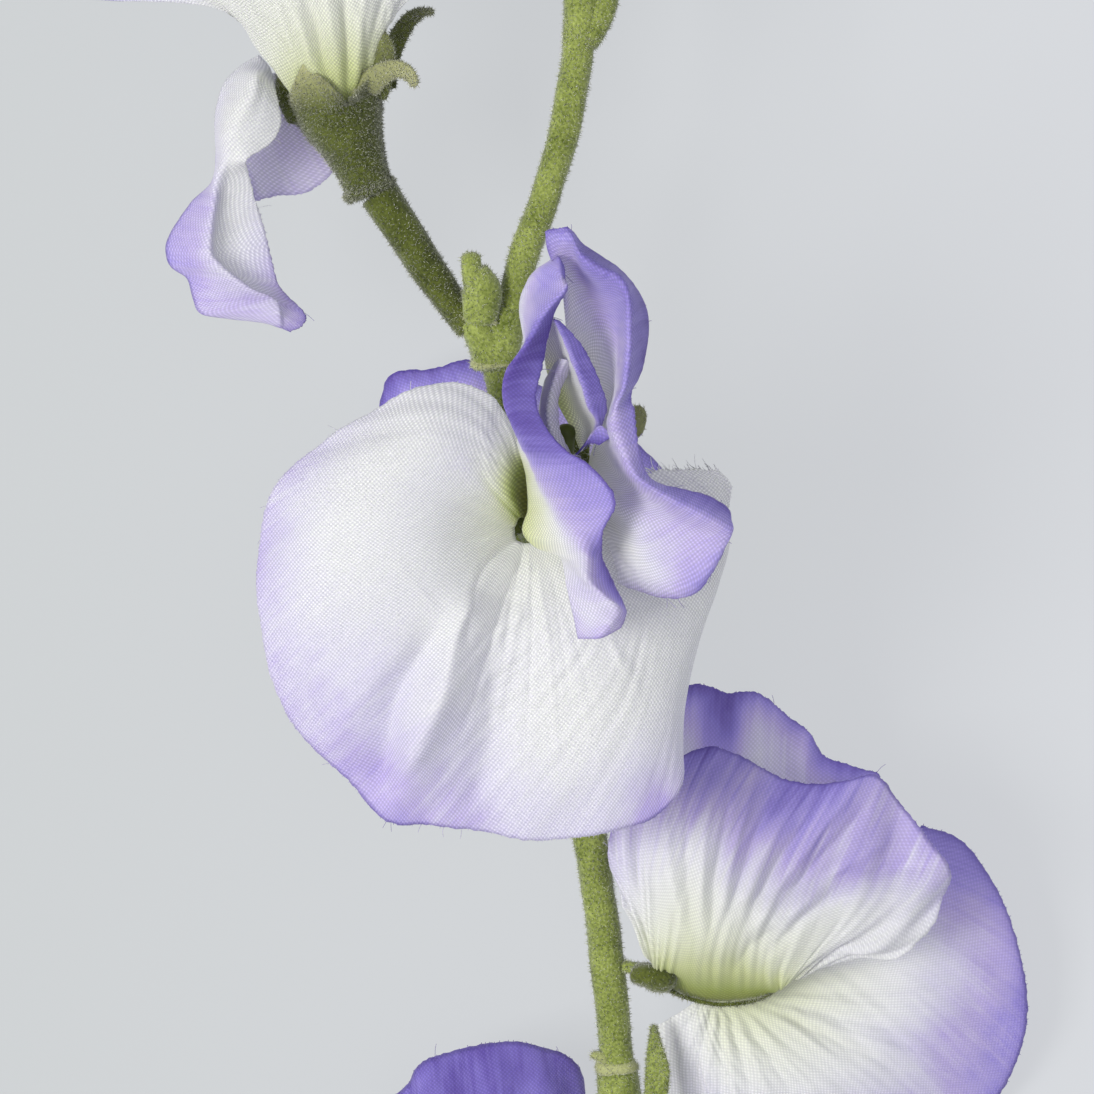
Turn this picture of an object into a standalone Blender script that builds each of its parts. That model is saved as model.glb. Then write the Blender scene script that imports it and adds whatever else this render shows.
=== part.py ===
"""Artificial sweet pea spray: one flocked stem with five woven-fabric blossoms, lying down.

Points are in millimetres in the spray's own layout: +X across, +Y up the stem, +Z away from the
surface that it lies on. place() turns them to metres and puts the origin at the middle of the
footprint, on that surface.
"""

import math

import bmesh
import bpy
from mathutils import Matrix, Vector

MM = 0.001
FOOTPRINT_CENTRE = Vector((-0.70, -8.18, 0.13))   # layout point that becomes the origin, mm

PETAL_THICKNESS = 0.5      # mm, a petal and its stiffened base together
STEM_RADIUS = 1.75         # mm, wire core, plastic and flocking
BRANCH_RADIUS = 1.5        # mm
PEDICEL_RADIUS = 1.25      # mm
SEAM_GAP = 0.35            # mm, between pieces that are plugged into each other
SEPALS = 5

WHITE = (0.88, 0.88, 0.92)
LILAC = (0.62, 0.58, 0.86)
VIOLET = (0.36, 0.29, 0.70)
OLIVE = (0.25, 0.32, 0.08)
DARK_OLIVE = (0.10, 0.12, 0.02)


def clear_scene():
    for item in list(bpy.data.objects):
        bpy.data.objects.remove(item, do_unlink=True)


def material(name, colour, roughness):
    found = bpy.data.materials.get(name)
    if found:
        return found
    made = bpy.data.materials.new(name)
    made.use_nodes = True
    shader = made.node_tree.nodes["Principled BSDF"]
    shader.inputs["Base Color"].default_value = (*colour, 1.0)
    shader.inputs["Roughness"].default_value = roughness
    shader.inputs["Metallic"].default_value = 0.0
    return made


def petal_white():
    return material("petal_white", WHITE, 0.75)


def petal_lilac():
    return material("petal_lilac", LILAC, 0.75)


def petal_violet():
    return material("petal_violet", VIOLET, 0.75)


def flocked_green():
    return material("flocked_green", OLIVE, 0.95)


def moulded_green():
    return material("moulded_green", DARK_OLIVE, 0.55)


def place(point):
    """Layout millimetres to world metres."""
    return (Vector(point) - FOOTPRINT_CENTRE) * MM


def add_object(name, data, finish):
    made = bpy.data.objects.new(name, data)
    data.materials.append(finish)
    bpy.context.scene.collection.objects.link(made)
    return made


# ---------------------------------------------------------------- curves through hand-set points

def along(points, t):
    """Point at t (0 to 1) on a smooth curve through the points, evenly spaced by index."""
    last = len(points) - 1
    where = min(max(t, 0.0), 1.0) * last
    i = min(int(where), last - 1)
    f = where - i
    p1 = Vector(points[i])
    p2 = Vector(points[i + 1])
    p0 = Vector(points[i - 1]) if i > 0 else p1 * 2 - p2
    p3 = Vector(points[i + 2]) if i + 2 <= last else p2 * 2 - p1
    return 0.5 * (2 * p1 + (p2 - p0) * f + (2 * p0 - 5 * p1 + 4 * p2 - p3) * f ** 2
                  + (3 * p1 - p0 - 3 * p2 + p3) * f ** 3)


def tube(name, points, radii, finish, steps=10):
    """Round tapering stem through the points; radii are spread evenly over its length."""
    data = bpy.data.curves.new(name, "CURVE")
    data.dimensions = "3D"
    data.bevel_depth = MM
    data.bevel_resolution = 2
    data.use_fill_caps = True
    spline = data.splines.new("POLY")
    spline.points.add(steps)
    for i in range(steps + 1):
        t = i / steps
        spline.points[i].co = (*place(along(points, t)), 1.0)
        spline.points[i].radius = along([(r, 0, 0) for r in radii], t).x
    return add_object(name, data, finish)


def petal(name, ribs, finish, across=8, length=6, to_layout=None):
    """Sheet through ribs. Each rib is a list of points from the petal's base to its edge."""
    mesh = bpy.data.meshes.new(name)
    shape = bmesh.new()
    bmesh.ops.create_grid(shape, x_segments=across, y_segments=length, size=0.5)
    for vert in shape.verts:
        t = vert.co.y + 0.5
        point = along([along(rib, t) for rib in ribs], vert.co.x + 0.5)
        if to_layout:
            point = to_layout @ point
        vert.co = place(point)
    shape.to_mesh(mesh)
    shape.free()
    mesh.shade_smooth()
    made = add_object(name, mesh, finish)
    cloth = made.modifiers.new("cloth", "SOLIDIFY")
    cloth.thickness = PETAL_THICKNESS * MM
    cloth.offset = 0.0
    return made


def layout_frame(base, axis, up):
    """Matrix from a blossom's own frame (across, up, forward) to the layout, in millimetres."""
    forward = Vector(axis).normalized()
    across = Vector(up).cross(forward).normalized()
    rise = forward.cross(across)
    turn = Matrix((across, rise, forward)).transposed().to_4x4()
    return Matrix.Translation(Vector(base)) @ turn


def calyx(name, base, axis, up, length, radius, sepal_rise, sepal_reach, finish):
    """Turned goblet on a narrow foot, with a sunk floor and five pointed sepals round its rim."""
    sides = SEPALS * 3
    frame = layout_frame(base, axis, up)
    shape = bmesh.new()
    ring = bmesh.ops.create_circle(shape, cap_ends=True, segments=sides, radius=1.0)["verts"]
    for vert in ring:
        vert.co *= radius * 0.36
    top = shape.faces[:][0]
    if top.normal.z < 0:
        bmesh.ops.reverse_faces(shape, faces=[top])
    profile = ((0.30, 0.62), (0.62, 0.88), (1.0, 1.0))
    bottom = bmesh.ops.extrude_face_region(shape, geom=[top])
    cap = [item for item in bottom["geom"] if isinstance(item, bmesh.types.BMFace)][0]
    for height, share in profile:
        for vert in cap.verts:
            flat = Vector((vert.co.x, vert.co.y, 0.0)).normalized() * radius * share
            vert.co = (flat.x, flat.y, length * height)
        if height < 1.0:
            grown = bmesh.ops.extrude_face_region(shape, geom=[cap])
            new_cap = [item for item in grown["geom"] if isinstance(item, bmesh.types.BMFace)][0]
            shape.faces.remove(cap)
            cap = new_cap
    rim = bmesh.ops.inset_region(shape, faces=[cap], thickness=radius * 0.22)["faces"]
    sunk = bmesh.ops.extrude_face_region(shape, geom=[cap])
    floor = [item for item in sunk["geom"] if isinstance(item, bmesh.types.BMFace)][0]
    shape.faces.remove(cap)
    for vert in floor.verts:
        vert.co.z -= length * 0.25
    rim.sort(key=lambda face: math.atan2(face.calc_center_median().y, face.calc_center_median().x))
    for number in range(SEPALS):
        grow_sepal(shape, rim[number * 3:number * 3 + 3], sepal_rise, sepal_reach)
    bmesh.ops.recalc_face_normals(shape, faces=shape.faces[:])
    for vert in shape.verts:
        vert.co = place(frame @ vert.co)
    mesh = bpy.data.meshes.new(name)
    shape.to_mesh(mesh)
    shape.free()
    mesh.shade_smooth()
    return add_object(name, mesh, finish)


def grow_sepal(shape, faces, rise, reach):
    """Draw three rim faces out into one sepal that rises and leans outwards to a point."""
    middle = faces[1].calc_center_median()
    outward = Vector((middle.x, middle.y, 0.0)).normalized()
    for share, rise_share, reach_share in ((0.62, 0.55, 0.4), (0.25, 0.45, 0.6)):
        grown = bmesh.ops.extrude_face_region(shape, geom=faces)
        new_faces = [item for item in grown["geom"] if isinstance(item, bmesh.types.BMFace)]
        for face in faces:
            shape.faces.remove(face)
        faces = new_faces
        verts = {vert for face in faces for vert in face.verts}
        centre = sum((vert.co for vert in verts), Vector()) / len(verts)
        side = Vector((-outward.y, outward.x, 0.0))
        for vert in verts:
            offset = (vert.co - centre).dot(side)
            vert.co -= side * offset * (1.0 - share)
            vert.co += Vector((0, 0, rise * rise_share)) + outward * reach * reach_share


# ---------------------------------------------------------------- stem

def stem():
    flock = flocked_green()
    tube("stem_tail", [(13.0, -96.5, 1.95), (11.4, -87, 2.8), (9.7, -76.5, 5.3), (8.25, -66, 8.6)],
         (1.75, 1.75, 1.8, 1.9), flock)
    tube("lower_node", [(8.15, -65.3, 8.8), (7.9, -60.5, 10.2), (7.3, -53.5, 12.3)],
         (1.95, 2.5, 1.85), flock, steps=6)
    tube("stem_main", [(7.25, -52.8, 12.5), (5.9, -40.3, 15.5), (4.3, -29.3, 17.8), (2.1, -17.3, 19.8),
                       (0.1, -5.3, 21.4), (-1.5, 2.7, 22.8), (-2.9, 9.7, 24.8), (-5.0, 18.9, 28.4)],
         (1.8, 1.75, 1.7, 1.6, 1.6), flock, steps=22)
    tube("fork_node", [(-5.15, 19.8, 28.7), (-5.0, 21.6, 29.0), (-4.9, 23.3, 29.3)],
         (2.35, 2.5, 2.2), flock, steps=4)
    tube("bud_stub", [(-6.4, 24.8, 30.6), (-6.5, 26.8, 31.2), (-7.1, 28.4, 31.5), (-7.5, 30.1, 31.6)],
         (1.5, 1.75, 1.15, 1.05), flock, steps=7)
    tube("left_branch", [(-8.5, 22.8, 28.9), (-9.9, 25.0, 28.9), (-11.8, 27.8, 28.8), (-14.2, 31.4, 28.6),
                         (-16.5, 35.1, 28.3)],
         (1.35, 1.45, 1.5), flock, steps=10)
    tube("upper_stem", [(-3.4, 24.3, 29.0), (-2.3, 29, 29.0), (-0.4, 34.5, 29.0), (1.7, 41.5, 28.6),
                        (3.0, 48.5, 28.0), (3.6, 53.0, 27.4)],
         (1.55, 1.6, 1.5, 1.5), flock, steps=16)
    tube("top_node", [(3.7, 53.7, 27.3), (4.3, 56.5, 26.8), (4.6, 59.5, 26.2)], (1.9, 2.6, 2.0), flock,
         steps=5)
    tube("tip_stalk", [(5.0, 60.3, 26.0), (6.3, 64.0, 25.0), (6.0, 68.0, 23.6)], (1.3, 1.2, 1.2), flock,
         steps=6)


def tip_bud():
    """Closed bud past the top node: a small calyx and a rolled bud of one petal."""
    calyx("tip_calyx", (5.85, 68.5, 23.4), (-0.12, 0.95, -0.28), (0, 0, 1), 5.0, 2.6, 2.4, 0.7,
          flocked_green())
    tube("tip_petals", [(5.05, 74.1, 21.7), (4.6, 76.2, 21.1), (3.8, 78.4, 20.6), (2.6, 80.0, 20.4)],
         (1.2, 2.2, 1.9, 0.7), petal_lilac(), steps=7)


def bract():
    """Pointed green bract that rises from the lower node."""
    petal("bract", [[(9.2, -64.6, 12.2), (9.9, -57, 14.2), (9.9, -53, 14.8), (10.8, -49, 15.0)],
                    [(10.1, -64.6, 12.6), (11.0, -57, 14.9), (11.0, -53, 15.5), (11.0, -48.8, 15.2)],
                    [(11.0, -64.6, 12.2), (12.1, -57, 14.2), (12.1, -53, 14.8), (11.2, -49, 15.0)]],
          flocked_green(), across=4, length=5)


# ---------------------------------------------------------------- front blossom, seen face on

def front_blossom():
    tube("front_pedicel", [(-0.8, 3.6, 25.6), (-0.1, 4.3, 26.8), (0.5, 5.0, 28.1)],
         (PEDICEL_RADIUS, PEDICEL_RADIUS, 1.4), flocked_green(), steps=4)
    calyx("front_calyx", (0.9, 5.4, 29.2), (0.04, 0.03, 1.0), (0.6, 0.8, 0.0), 8.6, 4.8, 1.2, 4.4,
          flocked_green())
    tube("front_receptacle", [(1.0, 5.6, 36.6), (1.4, 8.0, 40.6), (2.0, 10.6, 43.4)], (1.0, 0.9, 1.1),
         moulded_green(), steps=5)
    petal("front_banner",
          [[(-2.6, 2.9, 39.6), (-3.6, 5.2, 41.0), (-3.6, 7.6, 41.6), (-3.1, 10.2, 41.0)],
           [(-3.0, 2.6, 39.6), (-6.0, 6.4, 43.0), (-6.4, 11.0, 43.6), (-5.8, 15.1, 41.0)],
           [(-3.2, 2.3, 39.6), (-8.4, 6.2, 44.4), (-11.2, 11.4, 44.4), (-13.5, 15.6, 40.5)],
           [(-3.3, 1.9, 39.6), (-10.8, 5.0, 45.4), (-17.2, 8.4, 44.6), (-21.8, 11.1, 40.0)],
           [(-3.3, 1.5, 39.6), (-12.4, 2.2, 45.8), (-21.4, 3.0, 44.6), (-28.2, 4.0, 39.4)],
           [(-3.2, 1.1, 39.6), (-12.2, -1.6, 45.4), (-21.6, -4.4, 44.0), (-28.8, -7.5, 38.8)],
           [(-2.9, 0.7, 39.6), (-10.4, -5.2, 44.6), (-18.8, -11.2, 43.0), (-25.4, -17.6, 38.0)],
           [(-2.5, 0.4, 39.6), (-7.0, -8.2, 43.6), (-12.4, -18.0, 41.8), (-16.4, -27.4, 37.6)],
           [(-1.9, 0.3, 39.6), (-3.2, -8.8, 43.0), (-5.0, -18.8, 41.4), (-6.8, -28.6, 37.4)],
           [(-1.3, 0.4, 39.6), (0.8, -8.6, 43.0), (2.2, -18.8, 41.6), (3.0, -29.2, 37.8)],
           [(-0.8, 0.7, 39.6), (4.6, -7.4, 43.2), (9.0, -16.8, 42.2), (12.8, -25.6, 38.4)],
           [(-0.5, 1.1, 39.7), (7.6, -4.0, 42.6), (14.6, -11.6, 40.2), (13.4, -16.2, 34.0)],
           [(-0.4, 1.5, 39.8), (9.0, -0.2, 42.0), (17.2, -2.6, 39.4), (14.6, -7.0, 31.6)],
           [(-0.4, 2.0, 39.9), (8.6, 3.0, 41.0), (17.6, 2.6, 39.0), (16.8, -0.6, 31.4)],
           [(-0.5, 2.4, 40.0), (7.6, 6.2, 41.0), (13.2, 7.8, 41.4), (18.2, 6.2, 39.0)]],
          petal_white(), across=22, length=7)
    petal("front_wing_left",
          [[(1.3, 26.2, 58.5), (0.4, 21.2, 58.0), (-0.5, 16.2, 56.0), (1.0, 10.7, 52.5), (5.9, 5.5, 52.0),
            (5.9, 0.7, 50.0), (7.3, -5.1, 50.5), (7.6, -7.5, 51.5)],
           [(-0.2, 27.4, 56.0), (-1.1, 20.2, 55.0), (-2.6, 14.7, 52.5), (-0.7, 9.5, 50.5), (2.6, 5.2, 50.5),
            (3.5, -0.1, 49.0), (5.5, -5.4, 49.5), (5.6, -8.6, 50.5)],
           [(-2.2, 25.4, 52.0), (-2.6, 22.2, 49.5), (-3.9, 13.9, 47.0), (-2.6, 9.5, 43.2), (-1.2, 4.7, 42.0),
            (1.0, -0.4, 44.8), (3.4, -5.3, 48.0), (3.5, -8.6, 49.5)]],
          petal_lilac(), across=5, length=14)
    petal("front_wing_right",
          [[(2.6, 14.8, 45.6), (1.4, 20.8, 52.0), (-0.1, 31.3, 56.0)],
           [(3.4, 14.6, 45.2), (4.0, 20.4, 50.0), (2.1, 30.7, 57.0)],
           [(4.4, 14.2, 45.0), (5.8, 20.0, 50.0), (5.9, 28.3, 57.0)],
           [(5.4, 13.4, 45.0), (7.0, 18.6, 50.0), (9.8, 23.9, 56.0)],
           [(5.6, 12.2, 44.0), (7.6, 15.6, 49.0), (9.3, 18.5, 54.0)],
           [(5.4, 11.0, 43.2), (7.8, 12.7, 48.0), (8.8, 14.5, 53.0)],
           [(5.2, 9.8, 42.8), (8.0, 9.6, 47.6), (9.6, 8.6, 52.0)],
           [(5.2, 8.6, 42.8), (9.4, 6.8, 47.6), (14.3, 5.5, 51.0)],
           [(5.4, 7.4, 43.0), (10.6, 3.8, 47.2), (18.1, 2.7, 49.0)],
           [(6.0, 6.0, 43.6), (10.8, 0.6, 46.8), (15.3, -4.3, 46.4)],
           [(7.0, 4.2, 44.2), (9.2, 0.2, 46.0), (11.4, -4.8, 46.0)]],
          petal_lilac(), across=16, length=5)
    petal("front_keel_left",
          [[(1.2, 19.0, 53.4), (-0.6, 15.8, 50.2), (-0.2, 12.8, 47.6)],
           [(1.9, 18.9, 52.4), (0.7, 15.6, 49.2), (0.8, 12.6, 46.6)]],
          petal_lilac(), across=2, length=5)
    petal("front_keel_right",
          [[(1.0, 22.2, 55.6), (2.9, 18.4, 53.6), (4.0, 15.0, 51.0), (3.4, 12.9, 48.4)],
           [(2.2, 22.0, 55.2), (4.4, 18.0, 54.6), (5.6, 14.6, 52.4), (5.0, 12.5, 49.6)]],
          petal_violet(), across=2, length=6)


# ---------------------------------------------------------------- upper-left blossom, from behind

def upper_blossom():
    calyx("upper_calyx", (-16.9, 35.7, 28.3), (-0.42, 0.90, 0.12), (-0.53, -0.25, 0.81), 10.5, 5.0, 3.4, 3.4,
          flocked_green())
    petal("upper_banner",
          [[(-24.2, 45.4, 30.2), (-29.4, 51.6, 33.6), (-38.0, 54.0, 36.0), (-50.0, 55.0, 36.6)],
           [(-23.8, 45.8, 31.5), (-28.2, 53.0, 36.6), (-39.0, 59.0, 37.6), (-51.5, 63.0, 32.0)],
           [(-22.8, 46.2, 32.4), (-26.0, 54.0, 38.0), (-34.0, 65.0, 37.6), (-43.0, 74.5, 28.0)],
           [(-21.4, 46.6, 32.8), (-23.2, 55.0, 38.4), (-27.0, 67.0, 37.6), (-31.0, 78.5, 28.0)],
           [(-20.2, 47.0, 32.4), (-19.6, 55.6, 38.0), (-19.0, 66.0, 37.6), (-19.0, 76.5, 30.0)],
           [(-19.4, 47.4, 31.5), (-16.2, 54.6, 36.4), (-12.6, 61.6, 37.6), (-8.5, 69.5, 33.0)],
           [(-19.2, 47.6, 30.2), (-15.6, 53.0, 33.6), (-12.0, 56.4, 36.2), (-8.8, 58.5, 36.0)]],
          petal_white(), across=14, length=7)
    petal("upper_wing_left",
          [[(-24.4, 47.2, 28.5), (-28.6, 46.9, 30.6), (-32.8, 43.0, 31.2), (-34.4, 37.0, 31.4),
            (-38.0, 31.0, 30.2), (-36.2, 26.2, 30.2), (-34.2, 23.1, 31.0)],
           [(-23.8, 47.0, 29.0), (-27.6, 46.6, 32.0), (-30.2, 43.0, 34.0), (-31.8, 37.0, 34.0),
            (-33.8, 31.2, 33.4), (-32.0, 26.7, 33.4), (-29.7, 22.7, 33.4)],
           [(-23.2, 46.6, 28.5), (-26.6, 46.0, 31.2), (-28.0, 42.6, 31.8), (-29.8, 38.0, 31.2),
            (-29.0, 32.6, 29.8), (-27.2, 26.8, 29.8), (-24.8, 22.4, 31.0)]],
          petal_white(), across=5, length=13)
    petal("upper_wing_right",
          [[(-25.0, 49.4, 28.4), (-29.8, 47.8, 27.0), (-31.4, 41.4, 26.8), (-29.2, 34.8, 27.0)],
           [(-24.4, 49.4, 27.4), (-29.0, 47.2, 24.6), (-28.4, 40.4, 25.4), (-26.8, 35.2, 26.4)],
           [(-23.8, 49.4, 26.4), (-28.0, 46.6, 23.4), (-25.4, 39.8, 24.4), (-22.8, 36.4, 25.4)]],
          petal_lilac(), across=5, length=7)
    petal("upper_keel",
          [[(-22.6, 48.6, 30.4), (-26.4, 52.6, 30.8), (-31.2, 56.2, 31.8)],
           [(-21.8, 48.6, 29.0), (-25.2, 53.6, 27.8), (-30.4, 57.6, 28.6)],
           [(-20.8, 49.0, 30.4), (-23.4, 54.6, 30.8), (-29.6, 58.6, 31.8)]],
          petal_lilac(), across=4, length=5)


# ---------------------------------------------------------------- lower-right blossom, side on

def side_blossom():
    tube("side_pedicel", [(8.25, -42.9, 15.9), (8.9, -42.9, 15.9), (9.6, -42.9, 15.8)], (1.05, 1.05, 1.1),
         flocked_green(), steps=3)
    calyx("side_calyx", (10.0, -43.0, 15.6), (0.95, -0.05, -0.3), (0, 1, 0), 4.8, 2.3, 1.2, 0.7,
          flocked_green())
    petal("side_wing_upper",
          [[(17.8, -43.6, 15.6), (11.5, -40.4, 18.8), (8.0, -37.0, 20.4)],
           [(17.9, -44.0, 15.4), (11.0, -38.4, 20.4), (6.5, -31.5, 21.4)],
           [(17.6, -44.4, 15.0), (12.5, -35.4, 21.6), (9.0, -23.8, 23.4)],
           [(18.2, -44.7, 14.8), (16.5, -33.6, 22.2), (14.5, -20.4, 23.4)],
           [(19.2, -45.0, 14.7), (20.6, -33.2, 22.2), (21.5, -19.8, 22.4)],
           [(20.4, -45.0, 14.7), (25.4, -33.6, 21.4), (30.5, -23.8, 20.4)],
           [(21.6, -44.8, 14.8), (29.6, -35.6, 20.6), (37.0, -27.0, 19.4)],
           [(22.6, -44.5, 14.9), (32.0, -38.6, 19.6), (40.5, -33.5, 18.4)],
           [(23.4, -44.1, 15.1), (31.0, -40.8, 18.4), (37.0, -40.0, 17.2)],
           [(24.0, -43.6, 15.3), (28.0, -41.4, 17.2), (31.0, -41.4, 17.0)]],
          petal_lilac(), across=14, length=6)
    petal("side_wing_back",
          [[(18.2, -42.6, 13.8), (13.4, -35.0, 16.6), (9.4, -26.5, 17.4)],
           [(18.6, -43.0, 13.6), (13.8, -31.0, 17.4), (11.0, -18.0, 17.4)],
           [(19.4, -43.2, 13.5), (16.6, -29.0, 17.6), (15.0, -13.9, 16.4)],
           [(20.4, -43.2, 13.5), (20.6, -29.0, 17.0), (22.0, -15.0, 15.4)],
           [(21.4, -43.0, 13.6), (25.4, -31.4, 16.2), (29.2, -21.4, 15.4)],
           [(22.2, -42.6, 13.8), (28.4, -33.6, 15.6), (34.5, -25.2, 15.2)]],
          petal_violet(), across=8, length=6)
    petal("side_banner",
          [[(17.0, -45.4, 13.2), (14.2, -47.6, 12.8), (12.4, -50.0, 12.0)],
           [(17.3, -45.9, 12.9), (15.6, -52.0, 12.6), (13.8, -59.6, 8.0)],
           [(17.8, -46.2, 12.7), (19.0, -55.6, 12.0), (19.4, -66.0, 3.0)],
           [(18.9, -46.5, 12.6), (24.0, -56.0, 11.6), (29.0, -67.0, 0.6)],
           [(20.1, -46.5, 12.5), (31.0, -54.0, 11.6), (42.0, -62.5, 1.0)],
           [(21.3, -46.2, 12.4), (35.0, -50.2, 11.6), (49.0, -53.5, 4.4)],
           [(22.4, -45.7, 12.3), (37.0, -44.6, 12.0), (50.2, -43.0, 7.4)],
           [(23.2, -45.0, 12.2), (35.0, -39.4, 12.6), (45.4, -32.0, 9.6)],
           [(23.7, -44.2, 12.1), (31.0, -37.0, 12.2), (38.0, -28.6, 10.6)]],
          petal_white(), across=13, length=7)
    petal("side_keel",
          [[(18.0, -44.6, 11.0), (23.5, -46.6, 8.8), (29.5, -48.4, 6.4)],
           [(18.6, -46.2, 9.8), (24.5, -49.4, 6.0), (31.0, -50.4, 3.8)],
           [(19.2, -47.4, 10.8), (24.0, -51.0, 8.0), (29.5, -52.4, 5.6)]],
          petal_lilac(), across=4, length=5)


# ---------------------------------------------------------------- whole blossoms in their own frame

def lower_blossom():
    """Face-up blossom near the foot, in its own frame: across, up its banner, and forward."""
    size = 0.86
    frame = layout_frame((-2.2, -82.0, 11.4), (-0.06, -0.06, 1.0), (-0.12, 1.0, 0.0))
    own = frame @ Matrix.Scale(size, 4)
    tube("lower_pedicel", [(8.3, -80.6, 3.4), (5.4, -81.4, 2.0), (2.6, -81.5, 1.8), (0.0, -81.6, 2.6)],
         (1.05, 1.0, 1.0, 1.1), flocked_green(), steps=6)
    calyx("lower_calyx", (-1.8, -81.6, 3.9), (-0.05, -0.05, 1.0), (0, 1, 0), 6.2, 3.9, 0.9, 2.6,
          flocked_green())
    petal("lower_banner",
          [[(-2.6, 1.8, 0.8), (-8.2, -0.8, 3.6), (-14.0, -4.0, 0.0), (-17.5, -7.5, -8.0)],
           [(-2.2, 2.6, 0.8), (-9.0, 4.2, 4.2), (-17.5, 4.8, 0.4), (-21.5, 5.0, -9.5)],
           [(-1.8, 3.1, 0.8), (-8.4, 8.4, 4.6), (-16.0, 13.6, 1.0), (-19.5, 17.0, -8.6)],
           [(-1.2, 3.4, 0.8), (-6.0, 11.0, 4.8), (-11.6, 21.4, 3.0), (-14.5, 27.5, -5.0)],
           [(-0.6, 3.5, 0.8), (-3.4, 12.0, 5.2), (-6.8, 25.0, 4.6), (-8.5, 34.3, -2.2)],
           [(0.0, 3.5, 0.8), (0.0, 12.0, 5.4), (0.0, 26.0, 5.2), (0.0, 36.5, -0.8)],
           [(0.6, 3.5, 0.8), (3.4, 12.0, 5.2), (6.6, 25.0, 4.6), (8.5, 34.3, -2.2)],
           [(1.2, 3.4, 0.8), (4.8, 11.0, 4.8), (8.4, 21.4, 2.6), (10.6, 27.5, -5.0)],
           [(1.8, 3.1, 0.8), (5.8, 8.4, 4.4), (9.2, 13.6, 0.6), (10.4, 18.0, -8.2)],
           [(2.2, 2.6, 0.8), (6.4, 4.2, 3.8), (10.4, 5.4, 0.0), (11.0, 6.0, -8.0)],
           [(2.6, 1.8, 0.8), (6.0, -0.8, 3.0), (9.0, -4.0, 0.0), (9.5, -7.0, -7.0)]],
          petal_violet(), across=16, length=7, to_layout=own)
    for side, word in ((-1, "left"), (1, "right")):
        petal(f"lower_wing_{word}",
              [[(side * 1.6, 0.8, 1.6), (side * 3.2, 5.0, 9.0), (side * 5.6, 9.0, 17.0), (side * 8.5, 9.0, 24)],
               [(side * 2.2, -0.8, 1.4), (side * 6.0, -0.5, 9.5), (side * 9.0, 0.5, 18.0),
                (side * 12.0, 0.5, 25.0)],
               [(side * 2.0, -2.2, 1.6), (side * 5.0, -6.0, 8.0), (side * 7.4, -8.5, 15.0),
                (side * 10.0, -8.5, 21.0)]],
              petal_violet(), across=5, length=7, to_layout=own)
    petal("lower_keel",
          [[(-0.5, -0.4, 1.2), (-1.8, 1.4, 7.0), (-1.8, 3.4, 13.0), (-0.7, 5.4, 17.0)],
           [(0.0, -1.4, 1.0), (0.0, -4.0, 8.0), (0.0, -2.0, 15.0), (0.0, 2.4, 19.0)],
           [(0.5, -0.4, 1.2), (1.8, 1.4, 7.0), (1.8, 3.4, 13.0), (0.7, 5.4, 17.0)]],
          petal_lilac(), across=4, length=6, to_layout=own)


def under_blossom():
    """Blossom below the stem, face down: its banner opens like a skirt on to the surface."""
    tube("under_pedicel", [(-2.1, 0.5, 19.7), (-2.3, 0.2, 18.9), (-2.5, 0.0, 18.1)], (1.15, 1.15, 1.15),
         flocked_green(), steps=3)
    calyx("under_calyx", (-2.5, 0.0, 17.5), (0.0, 0.0, -1.0), (0, 1, 0), 5.6, 3.4, 0.5, 1.4, flocked_green())
    reach = ((-60, 15.0, 0.5), (-25, 17.0, 0.4), (10, 17.5, 0.5), (45, 16.0, 0.8), (80, 16.5, 2.5),
             (104, 19.8, 9.4), (117, 20.6, 9.4), (128, 22.4, 7.6), (140, 19.8, 4.0), (165, 18.4, 0.6),
             (200, 18.0, 0.45), (235, 17.0, 0.5), (265, 16.0, 0.5))
    ribs = []
    for degrees, radius, height in reach:
        out = Vector((math.cos(math.radians(degrees)), math.sin(math.radians(degrees)), 0.0))
        centre = Vector((-2.5, 0.0, 0.0))
        ribs.append([centre + out * 2.2 + Vector((0, 0, 10.2)), centre + out * 7.4 + Vector((0, 0, 9.8)),
                     centre + out * radius * 0.75 + Vector((0, 0, 4.2 + height * 0.6)),
                     centre + out * radius + Vector((0, 0, height))])
    petal("under_banner", ribs, petal_violet(), across=22, length=6)
    for side, word in ((-1, "left"), (1, "right")):
        petal(f"under_wing_{word}",
              [[(-2.5 + side * 1.0, 1.4, 9.4), (-2.5 + side * 2.6, 5.0, 6.4), (-2.5 + side * 4.4, 7.6, 2.2)],
               [(-2.5 + side * 1.5, -0.4, 9.4), (-2.5 + side * 4.2, -0.6, 6.6), (-2.5 + side * 7.2, -0.8, 2.0)],
               [(-2.5 + side * 1.0, -2.0, 9.4), (-2.5 + side * 2.6, -5.0, 6.4),
                (-2.5 + side * 4.4, -7.6, 2.2)]],
              petal_violet(), across=5, length=5)
    petal("under_keel",
          [[(-3.1, 1.0, 8.2), (-3.5, 2.4, 5.0), (-3.0, 3.2, 1.8)],
           [(-2.5, -0.8, 8.0), (-2.5, -0.8, 4.8), (-2.5, 0.6, 1.6)],
           [(-1.9, 1.0, 8.2), (-1.5, 2.4, 5.0), (-2.0, 3.2, 1.8)]],
          petal_lilac(), across=4, length=4)


def main():
    clear_scene()
    stem()
    tip_bud()
    bract()
    front_blossom()
    upper_blossom()
    side_blossom()
    lower_blossom()
    under_blossom()


main()
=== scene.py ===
import math
import random

import bmesh
import bpy
import numpy as np
from mathutils import Matrix, Vector


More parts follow.
